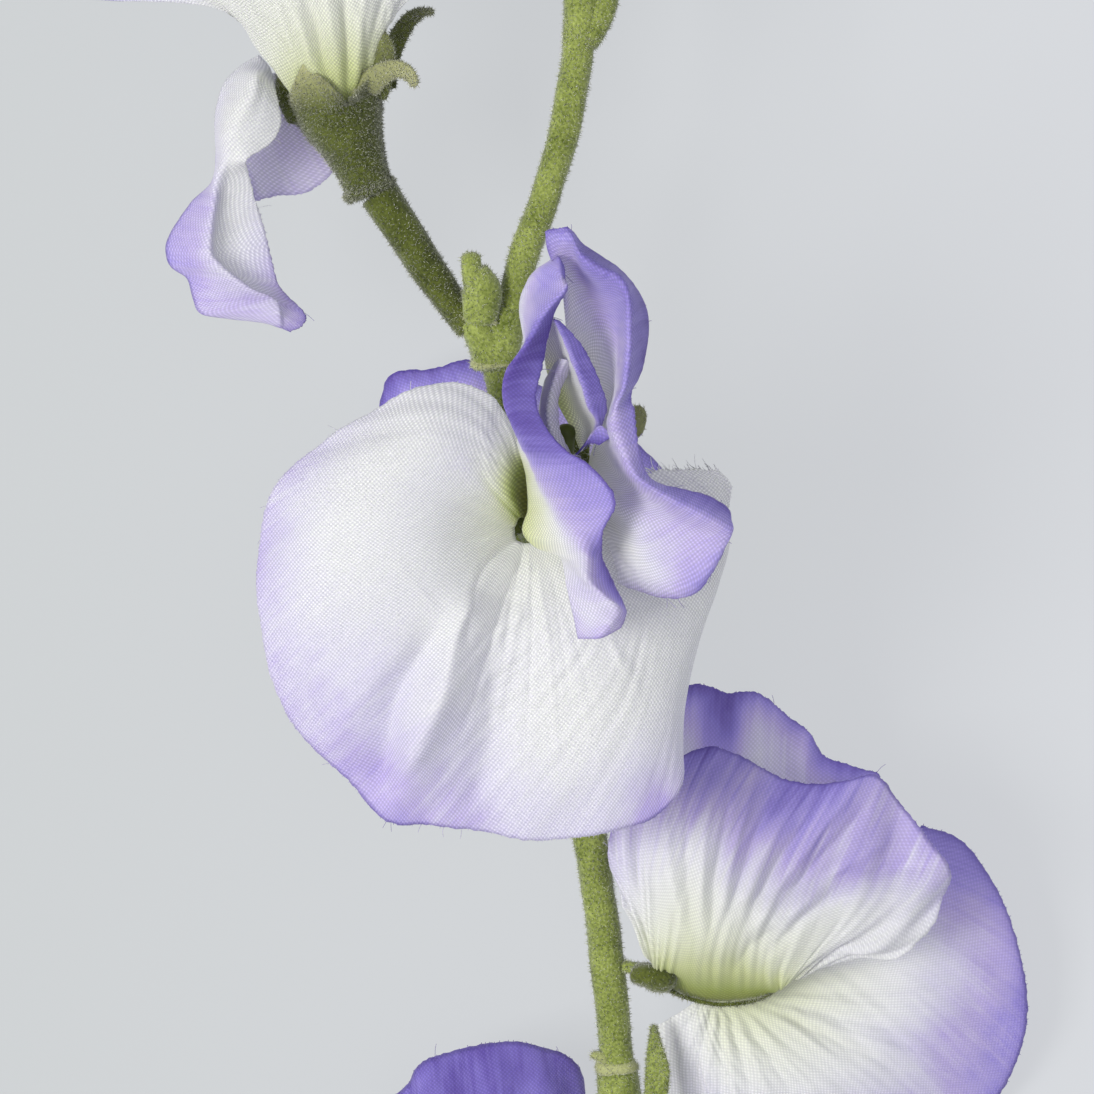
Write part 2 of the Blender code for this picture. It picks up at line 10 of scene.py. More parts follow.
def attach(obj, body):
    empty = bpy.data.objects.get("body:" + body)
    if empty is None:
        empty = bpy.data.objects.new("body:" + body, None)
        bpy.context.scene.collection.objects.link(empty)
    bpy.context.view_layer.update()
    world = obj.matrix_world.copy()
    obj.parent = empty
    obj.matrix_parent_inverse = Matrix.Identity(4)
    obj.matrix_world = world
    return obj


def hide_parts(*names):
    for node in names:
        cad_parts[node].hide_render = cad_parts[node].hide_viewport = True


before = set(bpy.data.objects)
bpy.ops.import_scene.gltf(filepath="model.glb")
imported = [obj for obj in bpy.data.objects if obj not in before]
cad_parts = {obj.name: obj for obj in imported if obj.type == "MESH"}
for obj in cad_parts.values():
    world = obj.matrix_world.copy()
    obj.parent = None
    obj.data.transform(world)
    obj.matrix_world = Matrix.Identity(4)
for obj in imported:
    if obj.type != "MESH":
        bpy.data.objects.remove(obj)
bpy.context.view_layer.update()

# Lengths are millimetres in the spray's own layout: x across, y up the stem, z away from the floor.
# The fourth number of a petal's point is its dye: -1 olive green darkened with painted shade, 0 white, 1 deep violet.
mm = 0.001
layoutCentre = Vector((-0.70, -8.18, 0.13))
palette = {
    "shadedOlive": "5f6418", "leafGreen": "93a046", "paleGreen": "ccd498", "cream": "e6e9d2", "white": "ebebed",
    "mist": "d9d5ee", "lavender": "bcafe4", "lilac": "a094de", "violet": "7e70c2", "deepViolet": "5c489f",
    "rimViolet": "453389",
}


def place(point):
    return (Vector(point[:3]) - layoutCentre) * mm


def tint(code):
    # sRGB hex to the linear colour that the shader takes
    parts = [int(code[i:i + 2], 16) / 255 for i in (0, 2, 4)]
    return tuple(c / 12.92 if c <= 0.04045 else ((c + 0.055) / 1.055) ** 2.4 for c in parts) + (1.0,)


# ---- shader maths

class Wire:
    def __init__(self, tree, socket):
        self.tree = tree
        self.socket = socket

    def maths(self, operation, *others):
        node = self.tree.nodes.new("ShaderNodeMath")
        node.operation = operation
        for slot, value in zip(node.inputs, others):
            if isinstance(value, Wire):
                self.tree.links.new(value.socket, slot)
            else:
                slot.default_value = value
        return Wire(self.tree, node.outputs[0])

    def __add__(self, other):
        return self.maths("ADD", self, other)

    def __radd__(self, other):
        return self.maths("ADD", other, self)

    def __sub__(self, other):
        return self.maths("SUBTRACT", self, other)

    def __rsub__(self, other):
        return self.maths("SUBTRACT", other, self)

    def __mul__(self, other):
        return self.maths("MULTIPLY", self, other)

    def __rmul__(self, other):
        return self.maths("MULTIPLY", other, self)

    def __pow__(self, other):
        return self.maths("POWER", self, other)

    def sine(self):
        return self.maths("SINE", self)

    def size(self):
        return self.maths("ABSOLUTE", self)

    def clamp(self, low=0.0, high=1.0):
        return self.maths("MINIMUM", self.maths("MAXIMUM", self, low), high)

    def ease(self, low, high):
        # 0 below low, 1 above high, soft between
        t = ((self - low) * (1.0 / (high - low))).clamp()
        return t * t * (3.0 - 2.0 * t)


class Finish:
    def __init__(self, name, **constants):
        self.material = bpy.data.materials.new(name)
        self.material.use_nodes = True
        self.tree = self.material.node_tree
        self.shader = self.tree.nodes["Principled BSDF"]
        for words, value in constants.items():
            self.shader.inputs[words.replace("_", " ")].default_value = value

    def node(self, kind, settings=None, inputs=None, output=0):
        made = self.tree.nodes.new(kind)
        for name, value in (settings or {}).items():
            if name == "stops":
                band = made.color_ramp
                while len(band.elements) < len(value):
                    band.elements.new(0.5)
                for element, (where, colour) in zip(band.elements, value):
                    element.position = where
                    element.color = colour
            else:
                setattr(made, name, value)
        for name, value in (inputs or {}).items():
            self.plug(made.inputs[name], value)
        return Wire(self.tree, made.outputs[output])

    def plug(self, slot, value):
        if isinstance(value, Wire):
            self.tree.links.new(value.socket, slot)
        else:
            slot.default_value = value

    def number(self, name):
        return self.node("ShaderNodeAttribute", {"attribute_name": name}, output="Fac")

    def mix(self, factor, first, second, blend="MIX"):
        return self.node("ShaderNodeMix", {"data_type": "RGBA", "blend_type": blend},
                         {0: factor, 6: first, 7: second}, output=2)

    def noise(self, where, scale, detail=2.0, rough=0.5):
        return self.node("ShaderNodeTexNoise", {}, {"Vector": where, "Scale": scale, "Detail": detail,
                                                    "Roughness": rough})

    def parts(self, vector):
        return [self.node("ShaderNodeSeparateXYZ", {}, {0: vector}, output=i) for i in range(3)]

    def bump(self, height, distance, strength=1.0):
        return self.node("ShaderNodeBump", {}, {"Height": height, "Distance": distance, "Strength": strength})

    def wear(self, **links):
        for words, value in links.items():
            self.plug(self.shader.inputs[words.replace("_", " ")], value)
        return self.material


# ---- woven petal cloth

clothLook = {"thread": 0.24, "weaveDepth": 0.05, "blotches": 0.4}


def wovenCloth(name, look=clothLook):
    cloth = Finish(name, Roughness=0.55, Specular_IOR_Level=0.35, Sheen_Weight=0.12, Sheen_Roughness=0.5,
                   Subsurface_Weight=0.7, Subsurface_Scale=0.001, Subsurface_Radius=(1.0, 0.95, 1.1))
    flat = cloth.node("ShaderNodeUVMap", {"uv_map": "cloth"})
    fan = cloth.node("ShaderNodeUVMap", {"uv_map": "fan"})
    across, down, _ = cloth.parts(flat)
    wander = (cloth.noise(flat, 0.12, 1.0) - 0.5) * 0.8
    turn = math.pi / look["thread"]
    warp = ((across + wander) * turn).sine()
    weft = ((down + wander) * turn).sine()
    cross = warp * weft
    dot = cross.clamp() ** 1.2
    gapShade = (0.0 - cross).clamp()
    # dye drifts in streaks that follow the petal's fan
    sideways, outward, _ = cloth.parts(fan)
    streakPlace = cloth.node("ShaderNodeCombineXYZ", {}, {0: sideways * 1.1, 1: outward * 0.07, 2: 0.0})
    fineStreak = cloth.node("ShaderNodeCombineXYZ", {}, {0: sideways * 3.2, 1: outward * 0.16, 2: 4.0})
    streak = (cloth.noise(streakPlace, 1.0, 3.0) - 0.5) + 0.6 * (cloth.noise(fineStreak, 1.0, 2.0) - 0.5)
    blotch = cloth.noise(flat, 0.22, 2.0) - 0.5
    dye = cloth.number("dye")
    drift = streak * cloth.number("streaky") + blotch * look["blotches"]
    dyed = (dye + drift * (dye * 1.6 + 0.12).clamp(0.0, 0.75)).clamp(-1.0, 1.0)
    # the olive end of the ramp is the green base dye darkened with painted shade, made for the pocket in the front
    # banner's slit
    stops = [(0.0, "shadedOlive"), (0.1, "leafGreen"), (0.22, "paleGreen"), (0.36, "cream"), (0.5, "white"), (0.6, "mist"),
             (0.71, "lavender"), (0.82, "lilac"), (0.92, "violet"), (1.0, "deepViolet")]
    colour = cloth.node("ShaderNodeValToRGB", {"stops": [(w, tint(palette[c])) for w, c in stops]},
                        {"Fac": dyed * 0.5 + 0.5})
    glintStrength = (1.0 - 0.45 * dye.clamp()) * cloth.number("crisp")
    # gleam: painted highlight on the thread crossings and painted shade in the gaps between threads; it is multiplied
    # into the dyed colour and also sets roughness and bump
    gleam = 0.25 + (0.75 * dot - 0.25 * gapShade) * glintStrength
    colour = cloth.mix(1.0, colour, cloth.mix(gleam, (0.66, 0.665, 0.685, 1), (1.32, 1.32, 1.32, 1)), "MULTIPLY")
    rim = cloth.number("rim") * ((dye - 0.15) * 3.0).clamp()
    colour = cloth.mix(rim * 0.8, colour, tint(palette["rimViolet"]))
    crinkle = cloth.noise(streakPlace, 2.4, 2.0) * 0.5
    return cloth.wear(Base_Color=colour, Roughness=0.68 - 0.3 * gleam,
                      Normal=cloth.bump(gleam + crinkle, look["weaveDepth"] * mm))


# ---- petals: smooth sheets through given ribs

def smooth(points, where):
    # Catmull-Rom through the points along the first axis, even by index, where from 0 to 1
    points = np.asarray(points, float)
    last = len(points) - 1
    padded = np.concatenate([2 * points[:1] - points[1:2], points, 2 * points[-1:] - points[-2:-1]])
    spot = np.clip(where, 0.0, 1.0) * last
    i = np.minimum(spot.astype(int), last - 1)
    f = (spot - i).reshape((-1,) + (1,) * (points.ndim - 1))
    p0, p1, p2, p3 = padded[i], padded[i + 1], padded[i + 2], padded[i + 3]
    return 0.5 * (2 * p1 + (p2 - p0) * f + (2 * p0 - 5 * p1 + 4 * p2 - p3) * f ** 2
                  + (3 * p1 - p0 - 3 * p2 + p3) * f ** 3)


def travelled(points, axis):
    steps = np.linalg.norm(np.diff(points, axis=axis), axis=-1)
    start = np.zeros_like(np.take(steps, [0], axis=axis))
    return np.concatenate([start, np.cumsum(steps, axis=axis)], axis=axis)


def waves(u, v, seed, shortest, longest, count=9):
    # soft uneven ripples, about -1 to 1
    chance = random.Random(seed)
    total = np.zeros_like(u)
    for _ in range(count):
        length = shortest * (longest / shortest) ** chance.random()
        angle = chance.uniform(0, math.pi)
        total += np.sin((u * math.cos(angle) + v * math.sin(angle)) * 2 * math.pi / length
                        + chance.uniform(0, 6.28)) * length / longest
    return total / (0.4 * count) ** 0.5


def toLine(x, y, points):
    # distance in plan from every point to a drawn crease, and how far along the crease it is
    line = smooth([p[:2] for p in points], np.linspace(0, 1, 8 * len(points)))
    nearest = np.full(x.shape, 1e9)
    along = np.zeros(x.shape)
    for k, (a, b) in enumerate(zip(line[:-1], line[1:])):
        d = b - a
        t = np.clip(((x - a[0]) * d[0] + (y - a[1]) * d[1]) / max(d @ d, 1e-9), 0, 1)
        gap = np.hypot(x - a[0] - d[0] * t, y - a[1] - d[1] * t)
        closer = gap < nearest
        nearest = np.where(closer, gap, nearest)
        along = np.where(closer, (k + t) / (len(line) - 1), along)
    return nearest, along


plainPetal = {
    "across": 60, "along": 36, "thickness": 0.19, "ruffle": 0.0, "ruffleLength": 9.0, "crinkle": 0.02,
    "fray": 0.08, "rims": "top left right", "pleats": (), "creases": (), "toLayout": None, "seed": 1,
    "finePleats": 0.04, "pleatZone": (-1.0, 2.0), "edges": (), "streaky": 0.35,
    "rimZone": (-1.0, 2.0), "crisp": 1.0, "weaveTurn": 0.0, "strip": False, "raggedSide": 0.0, "rimReach": 0.2,
}


def petal(name, node, slot, ribs, **changes):
    look = {**plainPetal, **changes}
    nS = look["across"]
    nT = look["along"]
    s = np.linspace(0, 1, nS + 1)
    t = np.linspace(0, 1, nT + 1)
    rows = np.stack([smooth(rib, t) for rib in ribs])
    net = smooth(rows, s)
    if look["toLayout"] is not None:
        turn = np.array(look["toLayout"])
        net[..., :3] = net[..., :3] @ turn[:3, :3].T + turn[:3, 3]
    spot = net[..., :3]
    dye = net[..., 3]
    outward = travelled(spot, 1)
    sideways = travelled(spot, 0)
    middle = sideways[nS // 2:nS // 2 + 1]
    sideways = sideways - middle
    normal = np.cross(np.gradient(spot, axis=0), np.gradient(spot, axis=1))
    normal /= np.maximum(np.linalg.norm(normal, axis=-1, keepdims=True), 1e-9)
    if normal[..., 2].mean() < 0:
        normal = -normal
    share = t[None, :] * np.ones((nS + 1, 1))
    lift = look["ruffle"] * share ** 2.5 * waves(sideways, outward * 0.3, look["seed"], look["ruffleLength"] * 0.5,
                                                 look["ruffleLength"])
    lift += look["crinkle"] * waves(sideways, outward * 0.45, look["seed"] + 1, 0.9, 3.5, 14)
    low, high = look["pleatZone"]
    zone = np.clip((s - low) / 0.06, 0, 1) * np.clip((high - s) / 0.06, 0, 1)
    lift += look["finePleats"] * waves(sideways * 1.0, outward * 0.06, look["seed"] + 2, 0.8, 2.6, 12) \
        * np.clip(1.25 - share, 0, 1) * np.clip(share * 6, 0, 1) * zone[:, None]
    for where, depth, width, start, end in look["pleats"]:
        line = np.array([np.interp(where, s, sideways[:, j]) for j in range(nT + 1)])
        window = np.clip((share - start) / 0.12, 0, 1) * np.clip((end - share) / 0.2, 0, 1)
        lift += depth * window * np.exp(-((sideways - line[None, :]) / width) ** 2)
    for points, depth, width in look["creases"]:
        gap, along = toLine(spot[..., 0], spot[..., 1], points)
        lift += depth * np.exp(-(gap / width) ** 1.4) * np.clip(np.minimum(along, 1 - along) * 6 + 0.15, 0, 1)
    shaped = spot + normal * lift[..., None]
    # the cut edge is slightly uneven
    chance = random.Random(look["seed"] + 3)
    edgeWay = shaped[:, -1] - shaped[:, -2]
    edgeWay /= np.maximum(np.linalg.norm(edgeWay, axis=-1, keepdims=True), 1e-9)
    uneven = np.array([chance.uniform(-1, 1) for _ in range(nS + 1)]) * look["fray"]
    shaped[:, -1] += edgeWay * uneven[:, None]
    sideWay = shaped[-1] - shaped[-2]
    sideWay /= np.maximum(np.linalg.norm(sideWay, axis=-1, keepdims=True), 1e-9)
    uneven = np.array([chance.uniform(-1, 1) for _ in range(nT + 1)]) * look["fray"] * look["raggedSide"]
    shaped[-1] += sideWay * uneven[:, None]
    toEdge = np.full(share.shape, 1e3)
    sides = {"top": outward[:, -1:] - outward, "bottom": outward, "left": sideways - sideways[:1],
             "right": sideways[-1:] - sideways}
    for side in look["rims"].split():
        toEdge = np.minimum(toEdge, sides[side])
    rimLow, rimHigh = look["rimZone"]
    darkened = np.clip((s - rimLow) / 0.05, 0, 1) * np.clip((rimHigh - s) / 0.05, 0, 1)
    rim = np.exp(-toEdge / look["rimReach"]) * darkened[:, None]
    # flat cutting pattern of the petal, for the weave
    spread = travelled(spot, 0)[:, int(nT * 0.7)] / (outward[:, int(nT * 0.7)].mean() + 5.0)
    spread = spread - spread[nS // 2] + math.radians(look["weaveTurn"])
    reach = outward + 5.0
    flatX = reach * np.sin(spread)[:, None]
    flatY = reach * np.cos(spread)[:, None]
    if look["strip"]:
        flatX = sideways[:, nT // 2:nT // 2 + 1] * np.ones_like(outward)
        flatY = outward

    shape = bmesh.new()
    bmesh.ops.create_grid(shape, x_segments=nS, y_segments=nT, size=0.5)
    mesh = bpy.data.meshes.new(name)
    shape.to_mesh(mesh)
    shape.free()
    co = np.empty(len(mesh.vertices) * 3)
    mesh.vertices.foreach_get("co", co)
    co = co.reshape(-1, 3)
    i = np.rint((co[:, 0] + 0.5) * nS).astype(int)
    j = np.rint((co[:, 1] + 0.5) * nT).astype(int)
    world = (shaped[i, j] - np.array(layoutCentre)) * mm
    mesh.vertices.foreach_set("co", world.ravel())
    for word, values in (("dye", dye), ("rim", rim), ("streaky", np.full(dye.shape, look["streaky"])),
                         ("crisp", np.full(dye.shape, look["crisp"]))):
        mesh.attributes.new(word, "FLOAT", "POINT").data.foreach_set("value", values[i, j])
    corner = np.empty(len(mesh.loops), int)
    mesh.loops.foreach_get("vertex_index", corner)
    for word, u, v in (("cloth", flatX, flatY), ("fan", sideways, outward)):
        pairs = np.stack([u[i, j], v[i, j]], axis=1)[corner]
        mesh.uv_layers.new(name=word).data.foreach_set("uv", pairs.ravel())
    mesh.shade_smooth()
    mesh.update()
    piece = addPiece(name, mesh, petalFinish, [node] if node else [])
    cloth = piece.modifiers.new("cloth", "SOLIDIFY")
    cloth.thickness = look["thickness"] * mm
    cloth.offset = 0.0
    if look["edges"]:
        lines = {"top": (shaped[:, -1], shaped[:, -2], normal[:, -1], dye[:, -1]),
                 "bottom": (shaped[:, 0], shaped[:, 1], normal[:, 0], dye[:, 0]),
                 "left": (shaped[0], shaped[1], normal[0], dye[0]),
                 "right": (shaped[-1], shaped[-2], normal[-1], dye[-1])}
        addThreads(name + "_threads", [(*lines[side], *rest) for side, *rest in look["edges"]], look["seed"])
    return piece


def addThreads(name, edges, seed):
    # cut thread ends along each edge, and a few long stray ones
    chance = random.Random(seed + 9)
    shape = bmesh.new()
    dyeLayer = shape.verts.layers.float.new("dye")
    rimLayer = shape.verts.layers.float.new("rim")
    crispLayer = shape.verts.layers.float.new("crisp")
    pitch = clothLook["thread"] * 2
    for edge, inner, normal, dye, toothLength, strays in edges:
        edgeWay = edge - inner
        edgeWay = edgeWay / np.maximum(np.linalg.norm(edgeWay, axis=-1, keepdims=True), 1e-9)
        steps = np.linalg.norm(np.diff(edge, axis=0), axis=1)
        run = np.concatenate([[0], np.cumsum(steps)])
        ends = [(where, chance.uniform(0.4, 1.2) * toothLength, 0.06) for where in np.arange(pitch, run[-1], pitch)]
        ends += [(chance.uniform(0.02, 0.98) * run[-1], chance.uniform(0.6, 1.6), 0.03) for _ in range(strays)]
        for where, length, radius in ends:
            at, way, up = (Vector([float(np.interp(where, run, line[:, k])) for k in range(3)])
                           for line in (edge, edgeWay, normal))
            amount = float(np.interp(where, run, dye))
            direction = (way + Vector([chance.uniform(-0.35, 0.35) for _ in range(3)])).normalized()
            links = 1 if length < 0.6 else 4
            curl = (up * chance.uniform(-0.5, 0.5) + way.cross(up) * chance.uniform(-0.9, 0.9)) / links
            start = at - way * 0.08
            for link in range(links):
                step = direction * (length / links)
                turn = direction.to_track_quat("Z", "Y").to_matrix().to_4x4()
                cone = bmesh.ops.create_cone(shape, cap_ends=True, segments=4, radius1=radius * mm,
                                             radius2=radius * (0.45 if links == 1 else 1.0) * mm,
                                             depth=length / links * 1.06 * mm,
                                             matrix=Matrix.Translation(place(start + step * 0.5)) @ turn)["verts"]
                for vert in cone:
                    vert[dyeLayer] = amount
                    vert[rimLayer] = 0.9 if amount > 0.5 else 0.0
                    vert[crispLayer] = 0.0
                start += step
                direction = (direction + curl).normalized()
    mesh = bpy.data.meshes.new(name)
    shape.to_mesh(mesh)
    shape.free()
    mesh.shade_smooth()
    return addPiece(name, mesh, petalFinish, [])


def addPiece(name, mesh, finish, nodes):
    piece = bpy.data.objects.new(name + "_look", mesh)
    bpy.context.scene.collection.objects.link(piece)
    mesh.materials.append(finish)
    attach(piece, "root")
    if nodes:
        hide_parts(*nodes)
    return piece


# ---- flocked stems and calyxes

def flockedSkin(name, dark, light, tip):
    skin = Finish(name, Roughness=0.85, Specular_IOR_Level=0.25, Sheen_Weight=0.8, Sheen_Roughness=0.4)
    where = skin.node("ShaderNodeTexCoord", output="Object")
    speck = skin.noise(where, 3200.0, 2.0, 0.6)
    patch = skin.noise(where, 300.0, 2.0)
    colour = skin.mix(((speck - 0.5) * 1.7 + (patch - 0.5) * 1.0 + 0.5).clamp(), tint(dark), tint(light))
    colour = skin.mix(skin.number("pale").clamp() * 0.8, colour, tint("c3c494"))
    colour = skin.mix(skin.number("tip").clamp(), colour, tint(tip))
    return skin.wear(Base_Color=colour, Normal=skin.bump(speck, 0.15 * mm))


def wrap(shape, sides, steps, position, pale=None):
    # a closed skin: a grid rolled up round a path and sewn to itself and at both poles
    part = bmesh.new()
    paleLayer = part.verts.layers.float.new("pale")
    bmesh.ops.create_grid(part, x_segments=sides, y_segments=steps, size=0.5)
    for vert in part.verts:
        t = vert.co.y + 0.5
        angle = (vert.co.x + 0.5) * 2 * math.pi
        vert.co = place(position(angle, t))
        if pale:
            vert[paleLayer] = pale(angle, t)
    bmesh.ops.remove_doubles(part, verts=part.verts[:], dist=0.004 * mm)
    bmesh.ops.recalc_face_normals(part, faces=part.faces[:])
    holder = bpy.data.meshes.new("part")
    part.to_mesh(holder)
    part.free()
    shape.from_mesh(holder)
    bpy.data.meshes.remove(holder)


def rod(shape, path, sizes, sides=26, spacing=0.42, flatWay=None, round_=0.5, pale=0.0, lumps=0.05, seed=1):
    # sizes are (half width, half thickness) along the path; flatWay points across a flat rod
    path = [Vector(p) for p in path]
    line = smooth(path, np.linspace(0, 1, 61))
    length = float(travelled(line, 0)[-1])
    steps = max(8, int(length / spacing))
    chance = random.Random(seed)
    phase = [chance.uniform(0, 6.28) for _ in range(4)]
    sizes = [size if isinstance(size, tuple) else (size, size) for size in sizes]
    rows = []
    for k in range(steps + 1):
        # rows crowd at both ends, so that the ends round off
        t = 0.5 - 0.5 * math.cos(math.pi * k / steps) if steps < 14 else k / steps
        rows.append(t)
    centres = smooth(path, np.array(rows))
    halves = smooth(sizes, np.array(rows))
    ahead = smooth(path, np.clip(np.array(rows) + 0.01, 0, 1)) - smooth(path, np.clip(np.array(rows) - 0.01, 0, 1))
    hint = Vector(flatWay) if flatWay else Vector((0.3, 0.1, 1.0))

    def position(angle, t):
        k = round(t * steps)
        forward = Vector(ahead[k]).normalized()
        across = (hint - forward * hint.dot(forward)).normalized()
        rise = forward.cross(across)
        fromEnd = min(rows[k], 1 - rows[k]) * length
        close = math.sqrt(max(0.0, 1 - max(0.0, 1 - fromEnd / round_) ** 2)) if round_ else 1.0
        if k in (0, steps):
            close = 0.0
        wobble = 1 + lumps * (math.sin(2 * angle + phase[0] + rows[k] * length * 0.5)
                              + math.sin(3 * angle + phase[1] + rows[k] * length * 0.9)) * 0.5
        wide, thick = halves[k]
        return Vector(centres[k]) + (across * math.cos(angle) * wide + rise * math.sin(angle) * thick) * close * wobble

    wrap(shape, sides, steps, position, lambda angle, t: pale(t) if callable(pale) else pale)


def goblet(shape, base, axis, up, profile, sides=48, steps=44, lobes=0.0):
    # turned cup: profile is (radius, height) from the foot, over the rim, to the inner floor
    forward = Vector(axis).normalized()
    across = Vector(up).cross(forward).normalized()
    rise = forward.cross(across)
    rows = smooth(profile, np.linspace(0, 1, steps + 1))

    def position(angle, t):
        k = round(t * steps)
        radius, height = rows[k]
        if k in (0, steps):
            radius = 0.0
        radius = max(0.0, radius) * (1 + lobes * math.cos(5 * angle) * max(0.0, height / profile[-1][1] - 0.4))
        return (Vector(base) + across * math.cos(angle) * radius + rise * math.sin(angle) * radius
                + forward * height)

    wrap(shape, sides, steps, position)


def calyxCup(shape, aim, profile, lobes, wall=0.45, sides=100, steps=72):
    # a cup whose rim rises into pointed lobes; profile is (radius, height) from the foot to the rim
    # lobes: (degrees round the rim, length, half width in degrees, lean out, sway round, paleness)
    rimRadius, rimHeight = profile[-1]
    rows = []
    for k in range(steps + 1):
        v = 2 * min(k, steps - k) / steps
        radius, height = smooth(profile, np.array([min(v / 0.6, 1.0)]))[0]
        rows.append((v, radius, height, max(0.0, (v - 0.6) / 0.4), k > steps / 2))

    def lobeAt(angle):
        best = (0.0, 0.0, 0.0, 0.0)
        for degrees, long, half, out, sway, pale in lobes:
            gap = abs((math.degrees(angle) - degrees + 180) % 360 - 180) / half
            grown = max(0.0, 1 - gap) ** 0.8
            if grown * long > best[0]:
                best = (grown * long, out * grown, sway * grown, pale * grown)
        return best

    shapes = [lobeAt(2 * math.pi * k / sides) for k in range(sides + 1)]

    def position(angle, t):
        v, radius, height, lobePart, inside = rows[round(t * steps)]
        length, out, sway, _ = shapes[round(angle / (2 * math.pi) * sides)]
        reach = radius + out * lobePart ** 2
        if inside:
            reach -= wall * min(1.0, (1 - v) * 10) ** 0.5
            height = max(height, 0.4 * rimHeight)
        reach = 0.0 if v == 0 else max(reach, 0.05)
        turned = angle + sway * lobePart ** 1.5 / rimRadius
        return aim @ Vector((math.cos(turned) * reach, math.sin(turned) * reach, height + length * lobePart))

    def pale(angle, t):
        lobePart = rows[round(t * steps)][3]
        return shapes[round(angle / (2 * math.pi) * sides)][3] * lobePart ** 1.5

    wrap(shape, sides, steps, position, pale)


def flocked(name, nodes, shape, density=1.0, length=0.45, seed=5, skin="stem"):
    # short fibres stand on the skin: one slim spike for each of its triangles
    tipLayer = shape.verts.layers.float.get("tip") or shape.verts.layers.float.new("tip")
    fuzz = shape.copy()
    tipLayer = fuzz.verts.layers.float["tip"]
    bmesh.ops.triangulate(fuzz, faces=fuzz.faces[:])
    bmesh.ops.split_edges(fuzz, edges=fuzz.edges[:])
    chance = random.Random(seed)
    spare = []
    for face in fuzz.faces:
        if chance.random() > density:
            spare.append(face)
            continue
        bright = chance.random()
        a, b, c = (vert.co.copy() for vert in face.verts)
        u, v = sorted((chance.random(), chance.random()))
        root = a * u + b * (v - u) + c * (1 - v) - face.normal * 0.03 * mm
        for vert, corner in zip(face.verts, (a, b, c)):
            vert.co = root + (corner - (a + b + c) / 3).normalized() * 0.05 * mm
            vert[tipLayer] = 0.6 * bright ** 2
    bmesh.ops.delete(fuzz, geom=spare, context="FACES")
    fuzz.normal_update()
    standing = fuzz.faces[:]
    bases = bmesh.ops.duplicate(fuzz, geom=standing)["geom"]
    bmesh.ops.reverse_faces(fuzz, faces=[part for part in bases if isinstance(part, bmesh.types.BMFace)])
    ways = [(face.normal.copy(), face.verts[0][tipLayer] ** 0.5) for face in standing]
    tips = bmesh.ops.poke(fuzz, faces=standing)["verts"]
    for vert, (way, bright) in zip(tips, ways):
        lean = Vector((chance.gauss(0, 1), chance.gauss(0, 1), chance.gauss(0, 1))) * 0.85
        vert.co += (way + lean).normalized() * length * chance.uniform(0.5, 1.25) * mm
        vert[tipLayer] = min(1.0, 0.15 + bright)
    bmesh.ops.remove_doubles(fuzz, verts=fuzz.verts[:], dist=0.0005 * mm)
    holder = bpy.data.meshes.new("fuzz")
    fuzz.to_mesh(holder)
    fuzz.free()
    shape.from_mesh(holder)
    bpy.data.meshes.remove(holder)
    mesh = bpy.data.meshes.new(name)
    shape.to_mesh(mesh)
    shape.free()
    mesh.shade_smooth()
    return addPiece(name, mesh, flockFinishes[skin], nodes)


def newSkin():
    shape = bmesh.new()
    shape.verts.layers.float.new("pale")
    shape.verts.layers.float.new("tip")
    return shape


petalFinish = wovenCloth("wovenPetal")
flockFinishes = {
    "stem": flockedSkin("flockedStem", "526019", "abb864", "f2f4dc"),
    # the calyx flock is darker: partly the calyxes' own colour, partly painted shade; the left branch wears it as
    # painted shade only
    "calyx": flockedSkin("darkFlockWithPaintedShade", "2a320a", "66702c", "dde0c6"),
}
print("finishes ready")


# ---- stem

